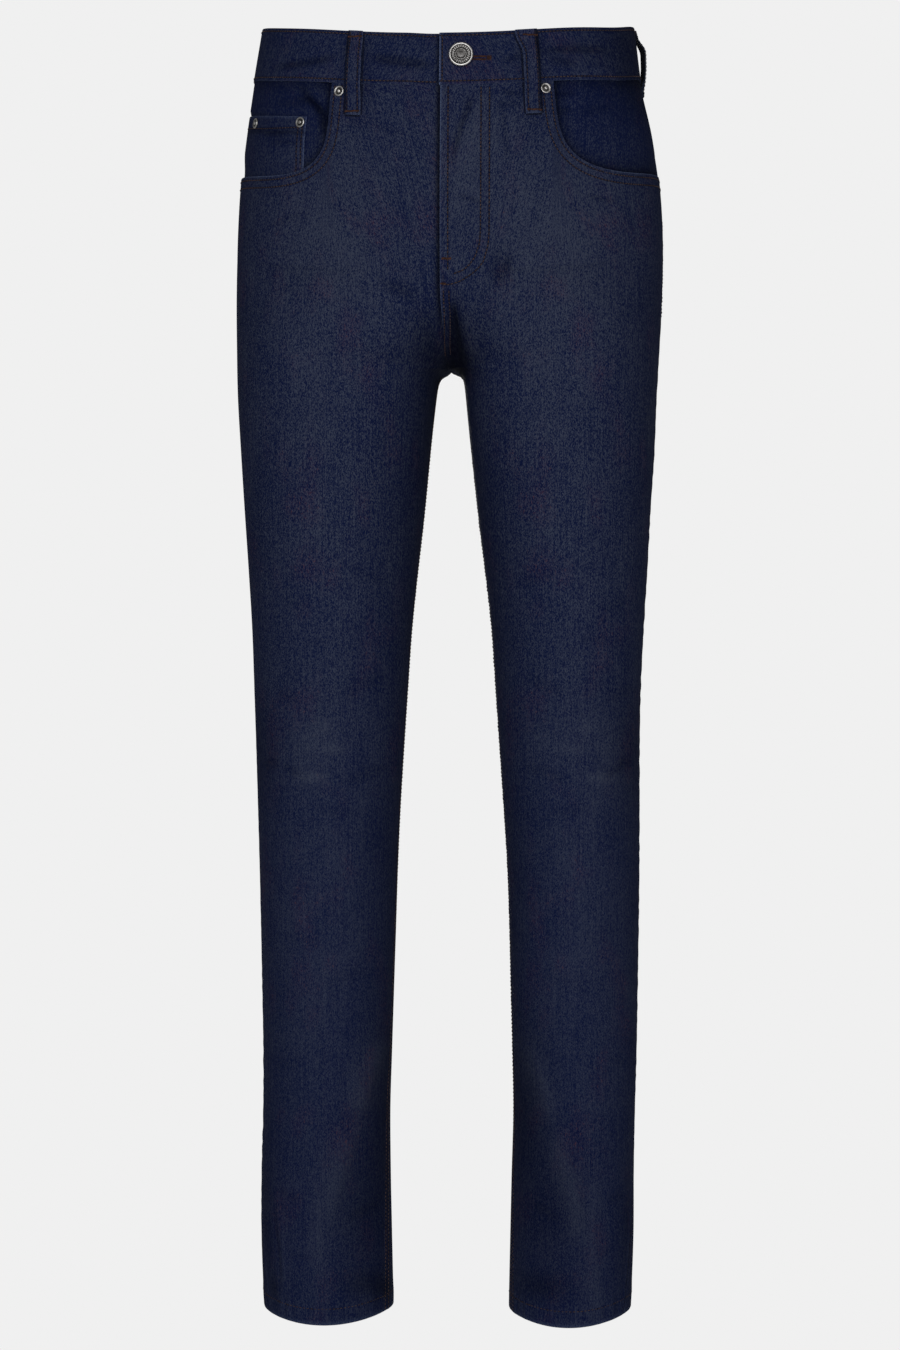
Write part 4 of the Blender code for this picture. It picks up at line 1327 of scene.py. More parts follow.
def sewn_mesh(group, colour):
    """One mesh of every stitch in a group, each an arched thread whose ends dip into the cloth."""
    starts, ends, away, radii = [np.concatenate([row[i] for row in SEWING[group]]) for i in range(4)]
    length = np.linalg.norm(ends - starts, axis=1, keepdims=True)
    run = unit(ends - starts)
    across = unit(np.cross(away, run))
    up = np.cross(run, across)
    rings, girth, rise = STITCH_RINGS.T
    around = np.arange(STITCH_SIDES) * 2 * math.pi / STITCH_SIDES
    ring = radii[:, None, None] * girth[None, :, None]
    points = (
        starts[:, None, None, :]
        + (run * length)[:, None, None, :] * rings[None, :, None, None]
        + up[:, None, None, :] * (radii[:, None] * rise[None, :])[:, :, None, None]
        + up[:, None, None, :] * (ring * np.sin(around) * STITCH_FLATNESS)[..., None]
        + across[:, None, None, :] * (ring * np.cos(around))[..., None]
    )
    count = len(starts)
    shape = (count, len(rings), STITCH_SIDES)
    size = len(rings) * STITCH_SIDES
    block = np.arange(size).reshape(len(rings), STITCH_SIDES)
    turned = np.roll(block, -1, axis=1)
    quad = np.stack([block[:-1], turned[:-1], turned[1:], block[1:]], axis=-1).reshape(-1, 4)
    faces = (quad[None, :, :] + (np.arange(count) * size)[:, None, None]).reshape(-1, 4)
    along = np.broadcast_to(rings[None, :, None] * length[:, None], shape)
    girdle = np.broadcast_to(np.arange(STITCH_SIDES) / STITCH_SIDES * STITCH_GIRTH, shape)
    uvs = np.stack([along, girdle], axis=-1).reshape(-1, 2)
    tint = 0.5 + 0.5 * np.sin(np.arange(count) * 12.9898)
    paint = np.zeros((count, size, 4))
    paint[..., 0] = tint[:, None]
    paint[..., 3] = 1
    flat = points.reshape(-1, 3)
    made = mesh_object(group, flat, faces, uvs, paint.reshape(-1, 4), [colour], np.zeros(len(faces)))
    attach(made, "root")


def shade_strips(colour):
    """Narrow dark strip of painted shade under each row of sewing and beside the front belt loops."""
    points = []
    faces = []
    uvs = []
    first = 0
    for line, away in SHADE_STRIP_PATHS:
        across = unit(np.cross(away, np.gradient(line, axis=0)))
        length = lengths_along(line)
        for edge in (-SHADE_STRIP_HALF, SHADE_STRIP_HALF):
            points.append(line + away * SHADE_STRIP_RISE + across * edge)
            uvs.append(np.stack([length, np.full(len(line), edge)], axis=-1))
        row = np.arange(len(line) - 1) + first
        faces.append(np.stack([row, row + 1, row + 1 + len(line), row + len(line)], axis=-1))
        first += 2 * len(line)
    points, faces, uvs = [np.concatenate(each) for each in (points, faces, uvs)]
    paint = np.tile([0.3, 0.0, 0.0, 1.0], (len(points), 1))
    made = mesh_object("thread_furrows", points, faces, uvs, paint, [colour], np.zeros(len(faces)))
    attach(made, "root")


class Nodes:
    """Short writing for one material's nodes."""

    def __init__(self, name):
        self.made = bpy.data.materials.new(name)
        self.made.use_nodes = True
        self.tree = self.made.node_tree
        self.shader = self.tree.nodes["Principled BSDF"]

    def add(self, kind, **values):
        node = self.tree.nodes.new(kind)
        for key, value in values.items():
            setattr(node, key, value)
        return node

    def link(self, source, target):
        if isinstance(source, (int, float)):
            target.default_value = source
        elif isinstance(source, tuple):
            target.default_value = (*source, 1) if len(target.default_value) == 4 else source
        else:
            self.tree.links.new(source, target)

    def fed(self, node, **sources):
        """The node with its inputs fed; a name's underscores stand for spaces."""
        for name, source in sources.items():
            self.link(source, node.inputs[name.replace("_", " ")])
        return node

    def math(self, kind, first, second=0.0, third=0.0, clamp=False):
        node = self.add("ShaderNodeMath", operation=kind, use_clamp=clamp)
        for value, socket in zip((first, second, third), node.inputs):
            self.link(value, socket)
        return node.outputs[0]

    def mix(self, share, first, second, kind="MIX"):
        node = self.add("ShaderNodeMix", data_type="RGBA", blend_type=kind)
        return self.fed(node, Factor=share, A=first, B=second).outputs["Result"]

    def noise(self, vector, scale, detail=2.0, rough=0.5):
        node = self.add("ShaderNodeTexNoise")
        return self.fed(node, Vector=vector, Scale=scale, Detail=detail, Roughness=rough).outputs["Fac"]

    def bands(self, vector, scale, **values):
        node = self.add("ShaderNodeTexWave", wave_type="BANDS", bands_direction="X", wave_profile="SIN")
        return self.fed(node, Vector=vector, Scale=scale, **values).outputs["Fac"]

    def spread(self, value, low, high, bottom=0.0, top=1.0):
        node = self.add("ShaderNodeMapRange", interpolation_type="SMOOTHSTEP")
        self.fed(node, Value=value, From_Min=low, From_Max=high, To_Min=bottom, To_Max=top)
        return node.outputs["Result"]

    def scaled(self, vector, scale, turn=0.0):
        node = self.add("ShaderNodeMapping")
        return self.fed(node, Vector=vector, Scale=scale, Rotation=(0.0, 0.0, turn)).outputs["Vector"]

    def painted(self):
        """The four channels of the painted wear and painted shade; on metal the third is tarnish."""
        paint = self.add("ShaderNodeAttribute", attribute_name="wear_and_shade")
        parts = self.fed(self.add("ShaderNodeSeparateColor"), Color=paint.outputs["Color"])
        return *parts.outputs[:3], paint.outputs["Alpha"]

    def finished(self, colour, rough, height, strength, depth):
        """The material, with its colour, its roughness and a bump from a height."""
        bump = self.fed(self.add("ShaderNodeBump"), Strength=strength, Distance=depth, Height=height)
        self.fed(self.shader, Base_Color=colour, Roughness=rough, Normal=bump.outputs["Normal"])
        return self.made


def denim(name, deep, worn, edge, warm, lift=0.0, contrast=1.0):
    """Indigo twill: diagonal ribs, uneven warp yarns, mottled fading, worn edges and painted shade."""
    n = Nodes(name)
    uv = n.add("ShaderNodeUVMap", uv_map="cloth").outputs["UV"]
    fade, rubbed, dark, crisp = n.painted()

    def uneven(across, along, detail, rough, scale=1.0):
        """Noise with so many spots a metre across and along the weave."""
        return n.noise(n.scaled(uv, (across, along, 1)), scale, detail, rough)

    twill = n.scaled(uv, (1000, 1000, 1), math.radians(TWILL_TURN))
    ribs = n.bands(twill, WAVE_TURN / RIB_PITCH, Distortion=1.1, Detail=1.0, Detail_Scale=0.9)
    yarn = uneven(1000, 230, 2.0, 0.6, 1.10)
    slub = uneven(620, 60, 2.0, 0.6)
    speck = uneven(1000, 760, 1.0, 0.6, 1.05)
    blot = uneven(290, 200, 3.0, 0.65)
    cloud = uneven(30, 20, 2.0, 0.5)
    warp = uneven(820, 16, 1.0, 0.5)
    tint = n.spread(uneven(24, 15, 2.0, 0.6), 0.50, 0.72)

    # Each float of the warp over three picks has its own tone
    place = n.add("ShaderNodeSeparateXYZ")
    n.fed(place, Vector=n.scaled(uv, (1000 / END_PITCH, 1000 / FLOAT_PITCH, 1)))
    end = n.math("FLOOR", place.outputs["X"])
    pick = n.math("FLOOR", n.math("MULTIPLY_ADD", end, 1 / 3, place.outputs["Y"]))
    spot = n.fed(n.add("ShaderNodeCombineXYZ"), X=end, Y=pick).outputs["Vector"]
    white = n.fed(n.add("ShaderNodeTexWhiteNoise", noise_dimensions="2D"), Vector=spot)

    grain = 0.0
    for source, weight in (
        (white.outputs["Value"], 1.05 * contrast),
        (warp, 0.95 * contrast),
        (blot, 0.25 * contrast),
        (slub, 0.35 * contrast),
        (speck, 1.50 * contrast),
        (yarn, 1.15 * contrast),
        (ribs, 0.16),
    ):
        grain = n.math("MULTIPLY_ADD", n.math("SUBTRACT", source, 0.5), weight, grain)
    tone = n.math("MULTIPLY_ADD", fade, 0.62, lift)
    tone = n.math("MULTIPLY_ADD", n.math("SUBTRACT", cloud, 0.5), 0.40, tone)
    tone = n.math("MULTIPLY_ADD", grain, crisp, tone, clamp=True)

    fleck = n.spread(uneven(800, 260, 2.0, 0.7), 0.56, 0.74)
    fleck = n.math("MULTIPLY", fleck, n.math("MULTIPLY_ADD", tone, 0.7, 0.22))
    fleck = n.math("MULTIPLY", fleck, n.math("MULTIPLY_ADD", tint, 2.3, 0.15), clamp=True)
    colour = n.mix(fleck, n.mix(tone, deep, worn), warm)
    reddened = n.mix(1.0, colour, (1.22, 0.86, 0.96), "MULTIPLY")
    colour = n.mix(n.math("MULTIPLY", tint, 0.50), colour, reddened)
    chafe = n.math("MULTIPLY", rubbed, n.spread(speck, 0.34, 0.62, 0.35, 1.0), clamp=True)
    colour = n.mix(chafe, colour, edge)
    # Painted shade from the paint's third channel darkens the colour
    shade = n.math("MULTIPLY_ADD", dark, -0.72, 1.0)
    colour = n.mix(1.0, colour, n.mix(shade, (0.0, 0.0, 0.0), (1.0, 1.0, 1.0)), "MULTIPLY")

    height = n.math("MULTIPLY_ADD", ribs, 0.55, n.math("MULTIPLY", yarn, 0.55))
    height = n.math("MULTIPLY_ADD", blot, 0.8, height)
    n.fed(n.shader, Specular_IOR_Level=0.03)
    return n.finished(colour, n.spread(speck, 0.3, 0.7, 0.80, 0.95), height, 0.55, 0.00022)


def thread(name, dark, light):
    """Twisted sewing thread."""
    n = Nodes(name)
    uv = n.add("ShaderNodeUVMap", uv_map="cloth").outputs["UV"]
    tint = n.painted()[0]
    twist = n.bands(n.scaled(uv, (1000, 1000, 1), math.radians(PLY_TURN)), WAVE_TURN / PLY_PITCH)
    share = n.math("MULTIPLY_ADD", twist, 0.35, n.math("MULTIPLY", tint, 0.6), clamp=True)
    n.fed(n.shader, Specular_IOR_Level=0.12)
    return n.finished(n.mix(share, dark, light), n.spread(twist, 0.0, 1.0, 0.75, 0.60), twist, 0.6, 0.0001)


def nickel(name, colour, tarnish):
    """Aged metal, dark where the paint channel says that it is recessed."""
    n = Nodes(name)
    place = n.add("ShaderNodeTexCoord").outputs["Object"]
    grain = n.noise(place, 900.0, 3.0, 0.6)
    stain = n.noise(place, 260.0, 2.0, 0.5)
    share = n.math("ADD", n.painted()[2], n.spread(stain, 0.5, 0.8, 0.0, 0.35), clamp=True)
    n.fed(n.shader, Metallic=1.0)
    rough = n.spread(grain, 0.3, 0.7, 0.28, 0.46)
    return n.finished(n.mix(share, colour, tarnish), rough, grain, 0.35, 0.00008)


def lathe(name, profile, side, angle, down, out, colour, steps=64, dots=0):
    """Body turned about the outward direction; the profile is radius, height and tarnish, millimetres."""
    radius, height, stain = np.array(profile).T
    radius = radius / 1000
    turn = np.arange(steps) * 2 * math.pi / steps
    rows = len(profile)
    ring = np.empty((rows, steps, 3))
    ring[..., 0] = radius[:, None] * np.cos(turn)
    ring[..., 1] = radius[:, None] * np.sin(turn)
    ring[..., 2] = height[:, None] / 1000
    paint = np.zeros((rows, steps, 4))
    paint[..., 2] = stain[:, None]
    paint[..., 3] = 1
    if dots:
        beads = bell(radius - BEAD_RING, BEAD_REACH)[:, None] * np.clip(np.cos(turn * dots), 0, 1) ** 0.7
        ring[..., 2] += beads * BEAD_HEIGHT
        paint[..., 2] = np.clip(paint[..., 2] - beads * 0.9, 0, 1)
    point, away = skin(side, float(angle), float(down), float(out))
    turned_way = Vector(away).to_track_quat("Z", "Y").to_matrix()
    world = ring.reshape(-1, 3) @ np.array(turned_way).T + point
    flat = np.arange(rows * steps).reshape(rows, steps)
    after = np.roll(flat, -1, axis=1)
    quads = np.stack([flat[:-1], after[:-1], after[1:], flat[1:]], axis=-1).reshape(-1, 4)
    faces = [*quads.tolist(), flat[0][::-1].tolist(), flat[-1].tolist()]
    uvs = ring.reshape(-1, 3)[:, :2]
    paint = paint.reshape(-1, 4)
    made = mesh_object(name + "_turned", world, faces, uvs, paint, [colour], np.zeros(len(faces)))
    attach(made, "root")
    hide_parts(name)


def loop_out(downs, bow, last, hang=0.0):
    """Distance of a belt loop's inner face from the bare surface."""
    rest = BAND_OUT + 0.0003 - (BAND_OUT * eased((downs - BAND_BOTTOM - 0.001) / 0.006))
    rise = 0.014 - 0.001 * hang
    stand = bow * eased((downs - rise / 2) / rise) * eased((last - 0.008 - downs) / 0.016)
    return rest + stand * (1 - hang * np.clip((downs - 0.013) / 0.030, 0, 1))


def belt_loop(name, side, angle, bow, last, materials, flare=0.0, hang=0.0, dark=0.0, lean=0.0):
    """Folded strip tacked above and below the waistband, standing off between, with its two rows."""
    step = 0.01
    span = np.linalg.norm(base(side, angle + step, 0.03) - base(side, angle - step, 0.03)) / (2 * step)
    slope = lean / last / span

    def flared(rows):
        """How much wider the strip is near its top, on its first edge."""
        return flare * (1 - eased((rows - 0.001) / 0.020))

    def edge_at(rows, edge, past):
        """Angle a little past an edge of the strip."""
        wide = LOOP_HALF + (flared(rows) if edge < 0 else 0.0)
        return angle + slope * rows + edge * (wide + past) / span

    def twisted(rows, across):
        """How far the first edge is turned out, from nothing at the tacked ends."""
        free = eased((rows - 0.002) / 0.014) * eased((last - 0.002 - rows) / 0.014)
        return LOOP_TWIST * hang * (1 - across) / 2 * free

    downs = np.linspace(0.0, last, 34)[:, None]
    across = np.linspace(-1, 1, 13)
    left = -(LOOP_HALF + flared(downs))
    angles = angle + slope * downs + (left + (LOOP_HALF - left) * (across + 1) / 2) / span
    inner = loop_out(downs, bow, last, hang) + twisted(downs, across)
    outs = inner + LOOP_THICK + LOOP_CROWN * (1 - across**4)
    inner = inner - FOLDED_END * hang * eased((downs - BAND_BOTTOM + 0.004) / 0.006)
    if "front" in name:
        lines = np.linspace(0.0015, last - 0.0005, 60)
        under = np.where(lines < BAND_BOTTOM, BAND_OUT, 0.0)
        # Dark strips of painted shadow beside the front loop's edges and under its lower end
        for edge in (-1, 1):
            SHADE_STRIP_PATHS.append(skin(side, edge_at(lines, edge, LOOP_SHADOW), lines, under))
        ends = np.linspace(-1, 1, 12)
        SHADE_STRIP_PATHS.append(skin(side, angle + slope * last + ends * LOOP_HALF / span, last + LOOP_SHADOW, 0.0))
        # The front loop takes off the painted shade of the patches round it and gets painted shade along one
        # edge
        dark = -0.42 + 1.1 * eased((across - 0.62) / 0.2)
    made = shell(
        name + "_strip", side, angles, downs, outs, outs - inner, materials,
        edge_wear=(0.3, 0.3, 0.8, 0.0), sink=(0.8, 0.8, 1.4, 1.4), tone=0.10, dark=dark,
        plumb=0.07 if "front" in name else None,
    )
    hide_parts(name)
    rows = np.linspace(0.0012, last - 0.0012, 40)
    for edge in (-1, 1):
        lift = loop_out(rows, bow, last, hang) + twisted(rows, edge) + LOOP_THICK + 0.00015
        sew("thread_trim", side, edge_at(rows, edge, -LOOP_ROW_INSET), rows, lift, radius=LOOP_THREAD)
    for down in (0.0050, last - 0.0028):
        lift = loop_out(down, bow, last, hang) + LOOP_THICK + 0.00030
        tack("thread_tack", side, angle + slope * down, down, lift, 90, 1.84 * LOOP_HALF, 0.0016, THICK_TACK)


def pocket_wear(u):
    """Rubbing of a front panel's upper edge: none at the waist, most down the pocket opening."""
    return 0.35 * eased((u - 0.41) / 0.03) + 0.85 * eased((u - 0.62) / 0.12)


def leg_pieces(side, word, cloths):
    """Front panel, back panel and yoke of one side."""
    angles, downs, outs = front_grid(side)
    panel = shell(
        f"front_{word}_cloth", side, angles, downs, outs, hem_depth(downs), cloths,
        edge_wear=(pocket_wear, 0.5, 0.8 if side > 0 else 0.0, 0.2),
        sink=(0.7, 0.9, 0.6, 1.2), dark=lap_shadow(side, angles, downs), plumb=LEG_PLUMB,
    )
    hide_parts(f"front_{word}")
    angles, downs = back_grid(side)
    panel = shell(
        f"back_{word}_cloth", side, angles, downs, 0.0, hem_depth(downs), cloths,
        edge_wear=(0.2, 0.5, 0.2, 0.2), sink=(1.3, 0.9, 1.2, 1.2), plumb=LEG_PLUMB,
    )
    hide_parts(f"back_{word}")
    angles, downs = yoke_grid(side)
    panel = shell(
        f"yoke_{word}_cloth", side, angles, downs, 0.0, WALL, cloths,
        edge_wear=(0, 0.4, 0.2, 0.25), sink=(0.6, 0.5, 1.2, 1.2), plumb=LEG_PLUMB,
    )
    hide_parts(f"yoke_{word}")


def fly_shield(materials):
    """Guard behind the closed fly."""
    downs = np.linspace(BAND_BOTTOM - BAND_TUCK, FLY_END - 0.004, 48)
    angles = np.array([angle_at(1, np.linspace(*SHIELD_X, 14), down) for down in downs])
    depth = 2 * (WALL + LAYER_GAP) + 0.0003
    made = shell("fly_shield_cloth", 1, angles, downs[:, None], -depth, THIN_WALL, materials)
    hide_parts("fly_shield")


def metal_parts(metal):
    """Waist button and the four rivets."""
    button_angle = angle_at(1, BUTTON_X, 0.02)
    lathe("waist_button", BUTTON, 1, button_angle, BUTTON_DOWN, BAND_OUT + 0.0003, metal, 96, 24)
    for name, side, x, down in POCKET_RIVETS:
        lathe(name, RIVET, side, angle_at(side, side * x, down), down, 0.0003, metal, 40)
    for name, x, down in COIN_RIVETS:
        place = angle_at(-1, np.array([x]), down)
        dip = facing_dip(opening_gap(-1, place, np.array([down])))[0]
        lathe(name, RIVET, -1, place[0], down, 0.0003 - COIN_DEPTH * dip, metal, 40)


def dress():
    """Every cloth piece, its sewing and the metal parts."""
    face = denim("indigo_twill", DEEP, WORN, EDGE, WARM, 0.22)
    band_face = denim("band_twill", DEEP, WORN, EDGE, WARM, 0.20, 0.85)
    pocket_face = denim("pocket_twill", DEEP, WORN, EDGE, WARM, 0.02, 0.75)
    reverse = denim("indigo_reverse", *REVERSE, 0.45)
    rust = thread("rust_thread", *RUST)
    brown = thread("tobacco_thread", *TOBACCO)
    metal = nickel("antique_metal", *NICKEL)
    cloths = [face, reverse]
    pockets = [pocket_face, reverse]
    for side, word in ((1, "left"), (-1, "right")):
        leg_pieces(side, word, cloths)
        facing_piece(side, word, pockets)
        back_pocket(side, word, cloths)
    waistband([band_face, band_face])
    fly_shield([band_face, reverse])
    coin_pocket(pockets)

    front_loop = float(angle_at(1, FRONT_LOOP_X, 0.03))
    belt_loop("belt_loop_front_left", 1, front_loop, 0.0022, LONG_LOOP, cloths, flare=0.0055)
    belt_loop("belt_loop_front_right", -1, front_loop, 0.0022, LONG_LOOP, cloths, lean=-0.0026)
    # The left side loop is painted darker all over as painted shade, since it faces sideways
    belt_loop("belt_loop_side_left", 1, math.radians(5.5), 0.0036, SHORT_LOOP, cloths, hang=0.80, dark=0.85)
    belt_loop("belt_loop_side_right", -1, math.radians(15.0), 0.0022, SHORT_LOOP, cloths)
    belt_loop("belt_loop_back", 1, math.pi / 2, 0.0026, SHORT_LOOP, cloths)
    metal_parts(metal)
    sewing()
    sewn_mesh("thread_body", brown)
    sewn_mesh("thread_trim", brown)
    sewn_mesh("thread_tack", rust)
    # Dark strips of painted shade under the rows and beside the front loops
    shade_strips(denim("painted_furrow_shade", *SHADE_STRIP_TONES, EDGE, WARM, 0.1, 0.6))


def opening_gap(side, angles, downs):
    """Distance of facing points from the pocket's opening, negative under the front panel."""
    curve, curve_down = pocket_edge(side, np.linspace(0, 1, 120))
    line = dense(side, curve, curve_down)
    points = base(np.full(angles.shape, side), angles, downs)
    gap, _ = nearest(line, points)
    lowest = np.interp(angles, curve, curve_down, left=0.0)
    return np.where(downs > lowest, -gap, gap)


def facing_dip(gap):
    """Share of its depth that a facing keeps: all under the front panel, little beside the side seam."""
    return 1 - FACING_FLATNESS * eased((gap - FACING_NEAR) / FACING_OVER)


def facing_piece(side, word, materials):
    """Piece behind a front pocket's opening, out to the side seam."""
    top = BAND_BOTTOM - BAND_TUCK
    downs = np.linspace(top, BAND_BOTTOM + POCKET_DEPTH + FACING_PAST, 34)[:, None]
    inner_edge = angle_at(side, side * (POCKET_CORNER_X - FACING_PAST), BAND_BOTTOM)
    outer_edge = nudged(side, side_seam(downs), downs, FACING_LAP)
    angles = inner_edge + (outer_edge - inner_edge) * np.linspace(0, 1, 40)
    downs = np.broadcast_to(downs, angles.shape)
    gap = opening_gap(side, angles, downs)
    # Painted shadow along the pocket's opening and under the waistband
    dark = 0.45 * bell(gap, 0.009) + 0.55 * bell(gap, 0.0026) + 0.45 * bell(downs - BAND_BOTTOM, 0.007)
    depth = (WALL + LAYER_GAP) * facing_dip(gap)
    if side < 0:
        beside_coin = eased((angles - angle_at(-1, COIN_X + 0.0033, 0.08)) / 0.06)
        depth = depth + eased((downs - 0.066) / 0.006) * beside_coin * (LAYER_GAP + 0.0012)
        place = base(np.full(angles.shape, side), angles, downs)
        arc = np.linalg.norm((place[..., [0, 2]] - FOLD_PLACE) / FOLD_SIZE, axis=-1)
        free = eased((place[..., 0] + 0.118) / 0.010)
        # Painted shadow along the curved fold
        dark = dark + 0.60 * bell(arc - 1.04, 0.09) * free
        depth = depth - 0.0007 * bell(arc - 0.84, 0.12) * free
    made = shell(
        f"pocket_facing_{word}_cloth", side, angles, downs, -depth, THIN_WALL, materials,
        dark=dark, plumb=0.125,
    )
    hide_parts(f"pocket_facing_{word}")


def coin_pocket(materials):
    """Small pocket on the facing, its lower end behind the front panel."""
    side = -1
    downs = np.linspace(COIN_TOP, COIN_TOP + COIN_HEIGHT, 26)[:, None]
    right = nudged(side, side_seam(downs), downs, -COIN_INSET)
    left = float(angle_at(side, COIN_X, 0.075))
    angles = left + (right - left) * np.linspace(0, 1, 26)
    downs = np.broadcast_to(downs, angles.shape)
    out = -COIN_DEPTH * facing_dip(opening_gap(side, angles, downs))
    # A dark line of painted shadow runs across the coin pocket below its top row of sewing
    made = shell(
        "coin_pocket_cloth", side, angles, downs, out, 0.0010, materials,
        edge_wear=(0.45, 0, 0.5, 0.2), sink=(0.5, 0.5, 0.5, 0.5), tone=0.25, plumb=0.125,
        dark=0.55 * bell(downs - COIN_TOP - 0.0128, 0.0022),
    )
    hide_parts("coin_pocket")
    u = np.linspace(0.05, 0.98, 30)
    edge_right = nudged(side, side_seam(COIN_TOP + 0.002), COIN_TOP + 0.002, -COIN_INSET)
    rows = np.linspace(COIN_TOP + 0.002, COIN_TOP + 0.046, 24)
    paths = (
        (left + (edge_right - left) * u, COIN_TOP + 0.0085 + 0.0022 * np.sin(u * math.pi)),
        (nudged(side, np.full(24, left), rows, 0.0030), rows),
        (nudged(side, np.full(24, left), rows, 0.0072), rows),
        (nudged(side, side_seam(rows), rows, -0.0105), rows),
    )
    for angle, down in paths:
        lift = -COIN_DEPTH * facing_dip(opening_gap(side, angle, down))
        sew("thread_trim", side, angle, down, lift, radius=COIN_THREAD)


def pocket_patch(side, u, v):
    """Place on a back pocket: u from minus one to one across, v from zero at its top to one below."""
    span = PATCH_SIDE + PATCH_POINT * (1 - np.abs(u))
    middle = PATCH_MIDDLE - PATCH_LEAN * v
    half = PATCH_WIDE - PATCH_TAPER * v
    down = PATCH_TOP - PATCH_LEAN * u + v * span
    return behind_at(side, side * (middle - u * half), down), down


def back_pocket(side, word, materials):
    """Five-sided patch pocket on the seat, with its hem and edge sewing."""
    u = np.linspace(-1, 1, 43)[None, :]
    v = np.linspace(0, 1, 44)[:, None]
    angles, downs = pocket_patch(side, u + 0 * v, v + 0 * u)
    out = PATCH_GAP + THIN_WALL
    made = shell(
        f"back_pocket_{word}_cloth", side, angles, downs, out, THIN_WALL, materials,
        edge_wear=(0.6, 0.6, 0.6, 0.6), sink=(0.8, 0.8, 0.8, 0.8), tone=0.05, plumb=0.09,
    )
    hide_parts(f"back_pocket_{word}")
    paths = []
    for inset in (0.0022, 0.0084):
        a = 1 - inset / PATCH_HALF
        b = inset / PATCH_HEIGHT
        down_side = np.linspace(0.004, 1 - b, 40)
        along = np.concatenate([np.full(40, -a), np.linspace(-a, a, 50)[1:-1], np.full(40, a)])
        paths.append((along, np.concatenate([down_side, np.full(48, 1 - b * 1.05), down_side[::-1]])))
    for height in (0.014, 0.080):
        paths.append((np.linspace(-0.964, 0.964, 50), np.full(50, height)))
    for path_u, path_v in paths:
        sew("thread_body", side, *pocket_patch(side, path_u, path_v), out)
    for u_end in (-0.95, 0.95):
        tack("thread_tack", side, *pocket_patch(side, u_end, 0.03), out, 0, 0.0075, 0.0018, THICK_TACK)


def waistband(materials):
    """Band all the way round, its ends lapped at the centre front, with its rows of sewing."""
    side, angle, sunk = band_turns()
    middle = np.linspace(0.0025, BAND_BOTTOM - 0.0025, 20)
    downs = np.concatenate([[0.0, 0.0006], middle, [BAND_BOTTOM - 0.0006, BAND_BOTTOM]])[:, None]
    off = base(side, angle, np.full(len(angle), 0.02))[:, 0] - BAND_EDGE_X
    # Painted shadow on the band's sunk end, just past the visible end's edge
    made = shell(
        "waistband_cloth", side, angle, downs, BAND_OUT - sunk, BAND_OUT + BAND_IN, materials,
        edge_wear=(0.25, 0.35, 1.0, 0.0), sink=(1.4, 0.9, 0.7, 0.7), tone=0.02,
        dark=0.9 * bell(off, 0.0030) * (sunk > 0),
    )
    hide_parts("waistband")
    shown = (sunk < 0.0003) | ((sunk > 0) & (off < -0.0015))
    top_row = 0.0026
    low_row = BAND_BOTTOM - 0.0028
    for row in (top_row, low_row):
        sew("thread_body", side[shown], angle[shown], row, BAND_OUT - sunk[shown])
    end = angle_at(1, BAND_EDGE_X + 0.0022, 0.02)
    sew("thread_body", 1, end, np.linspace(top_row, low_row, 30), BAND_OUT)


def sewing():
    """Rows and tacks on the panels."""
    hem_turn = np.linspace(-math.pi, math.pi, 260)
    leg = np.linspace(CROTCH + 0.004, HEM - 0.001, 300)
    share = np.linspace(0.005, 0.995, 90)
    yoke = yoke_seam(share)
    upper = np.linspace(BAND_BOTTOM + POCKET_DEPTH + 0.002, 0.235, 60)
    for side in (-1, 1):
        opening_line = pocket_edge(side, np.linspace(0.0, 1.0, 100))
        for inset in POCKET_ROWS:
            path = beside(side, *opening_line, -side * inset)
            keep = path[2] > BAND_BOTTOM + 0.001
            sew("thread_body", *[each[keep] for each in path], 0.0)
        sew("thread_body", side, hem_turn, HEM - HEM_ROW, -0.00010, radius=0.00030)
        for inset in SEAM_ROWS:
            sew("thread_body", side, nudged(side, back_end(leg), leg, -inset), leg, 0.0)
        for inset in SEAM_ROWS:
            sew("thread_body", side, behind_line(yoke, share), yoke - inset, 0.0)
        sew("thread_body", side, nudged(side, side_seam(upper), upper, 0.0022), upper, 0.0)
        tack("thread_tack", side, side_seam(0.236) + 0.02, 0.236, 0.0, 0, 0.008, 0.0018)
    rise = np.linspace(BAND_BOTTOM + 0.001, CROTCH - 0.030, 140)
    for inset in SEAM_ROWS:
        sew("thread_body", 1, nudged(1, back_end(rise), rise, -inset), rise, 0.0)
    for curve in (FLY_OUTER_ROW, FLY_INNER_ROW):
        total = lengths_along(curve)
        fine = np.linspace(0, total[-1], 90)
        side, angle, down = placed(*picked(curve, total, fine).T)
        sew("thread_body", side, angle, down, 0.0)
    fly = np.linspace(BAND_BOTTOM + 0.001, FLY_END - 0.010, 70)
    sew("thread_body", 1, angle_at(1, FLY_EDGE_X + 0.0062, fly), fly, 0.0)
    below = np.linspace(FLY_END + 0.006, CROTCH - 0.034, 60)
    for x in (0.0016, 0.0059):
        sew("thread_body", 1, angle_at(1, x - 0.002 * eased((below - 0.22) / 0.05), below), below, 0.0)
    for x, z, length in FLY_TACKS:
        _, angle, down = placed(x, z)
        tack("thread_tack", 1, angle, down, 0.0, 90, length, 0.0022, THICK_TACK)
    buttonhole()


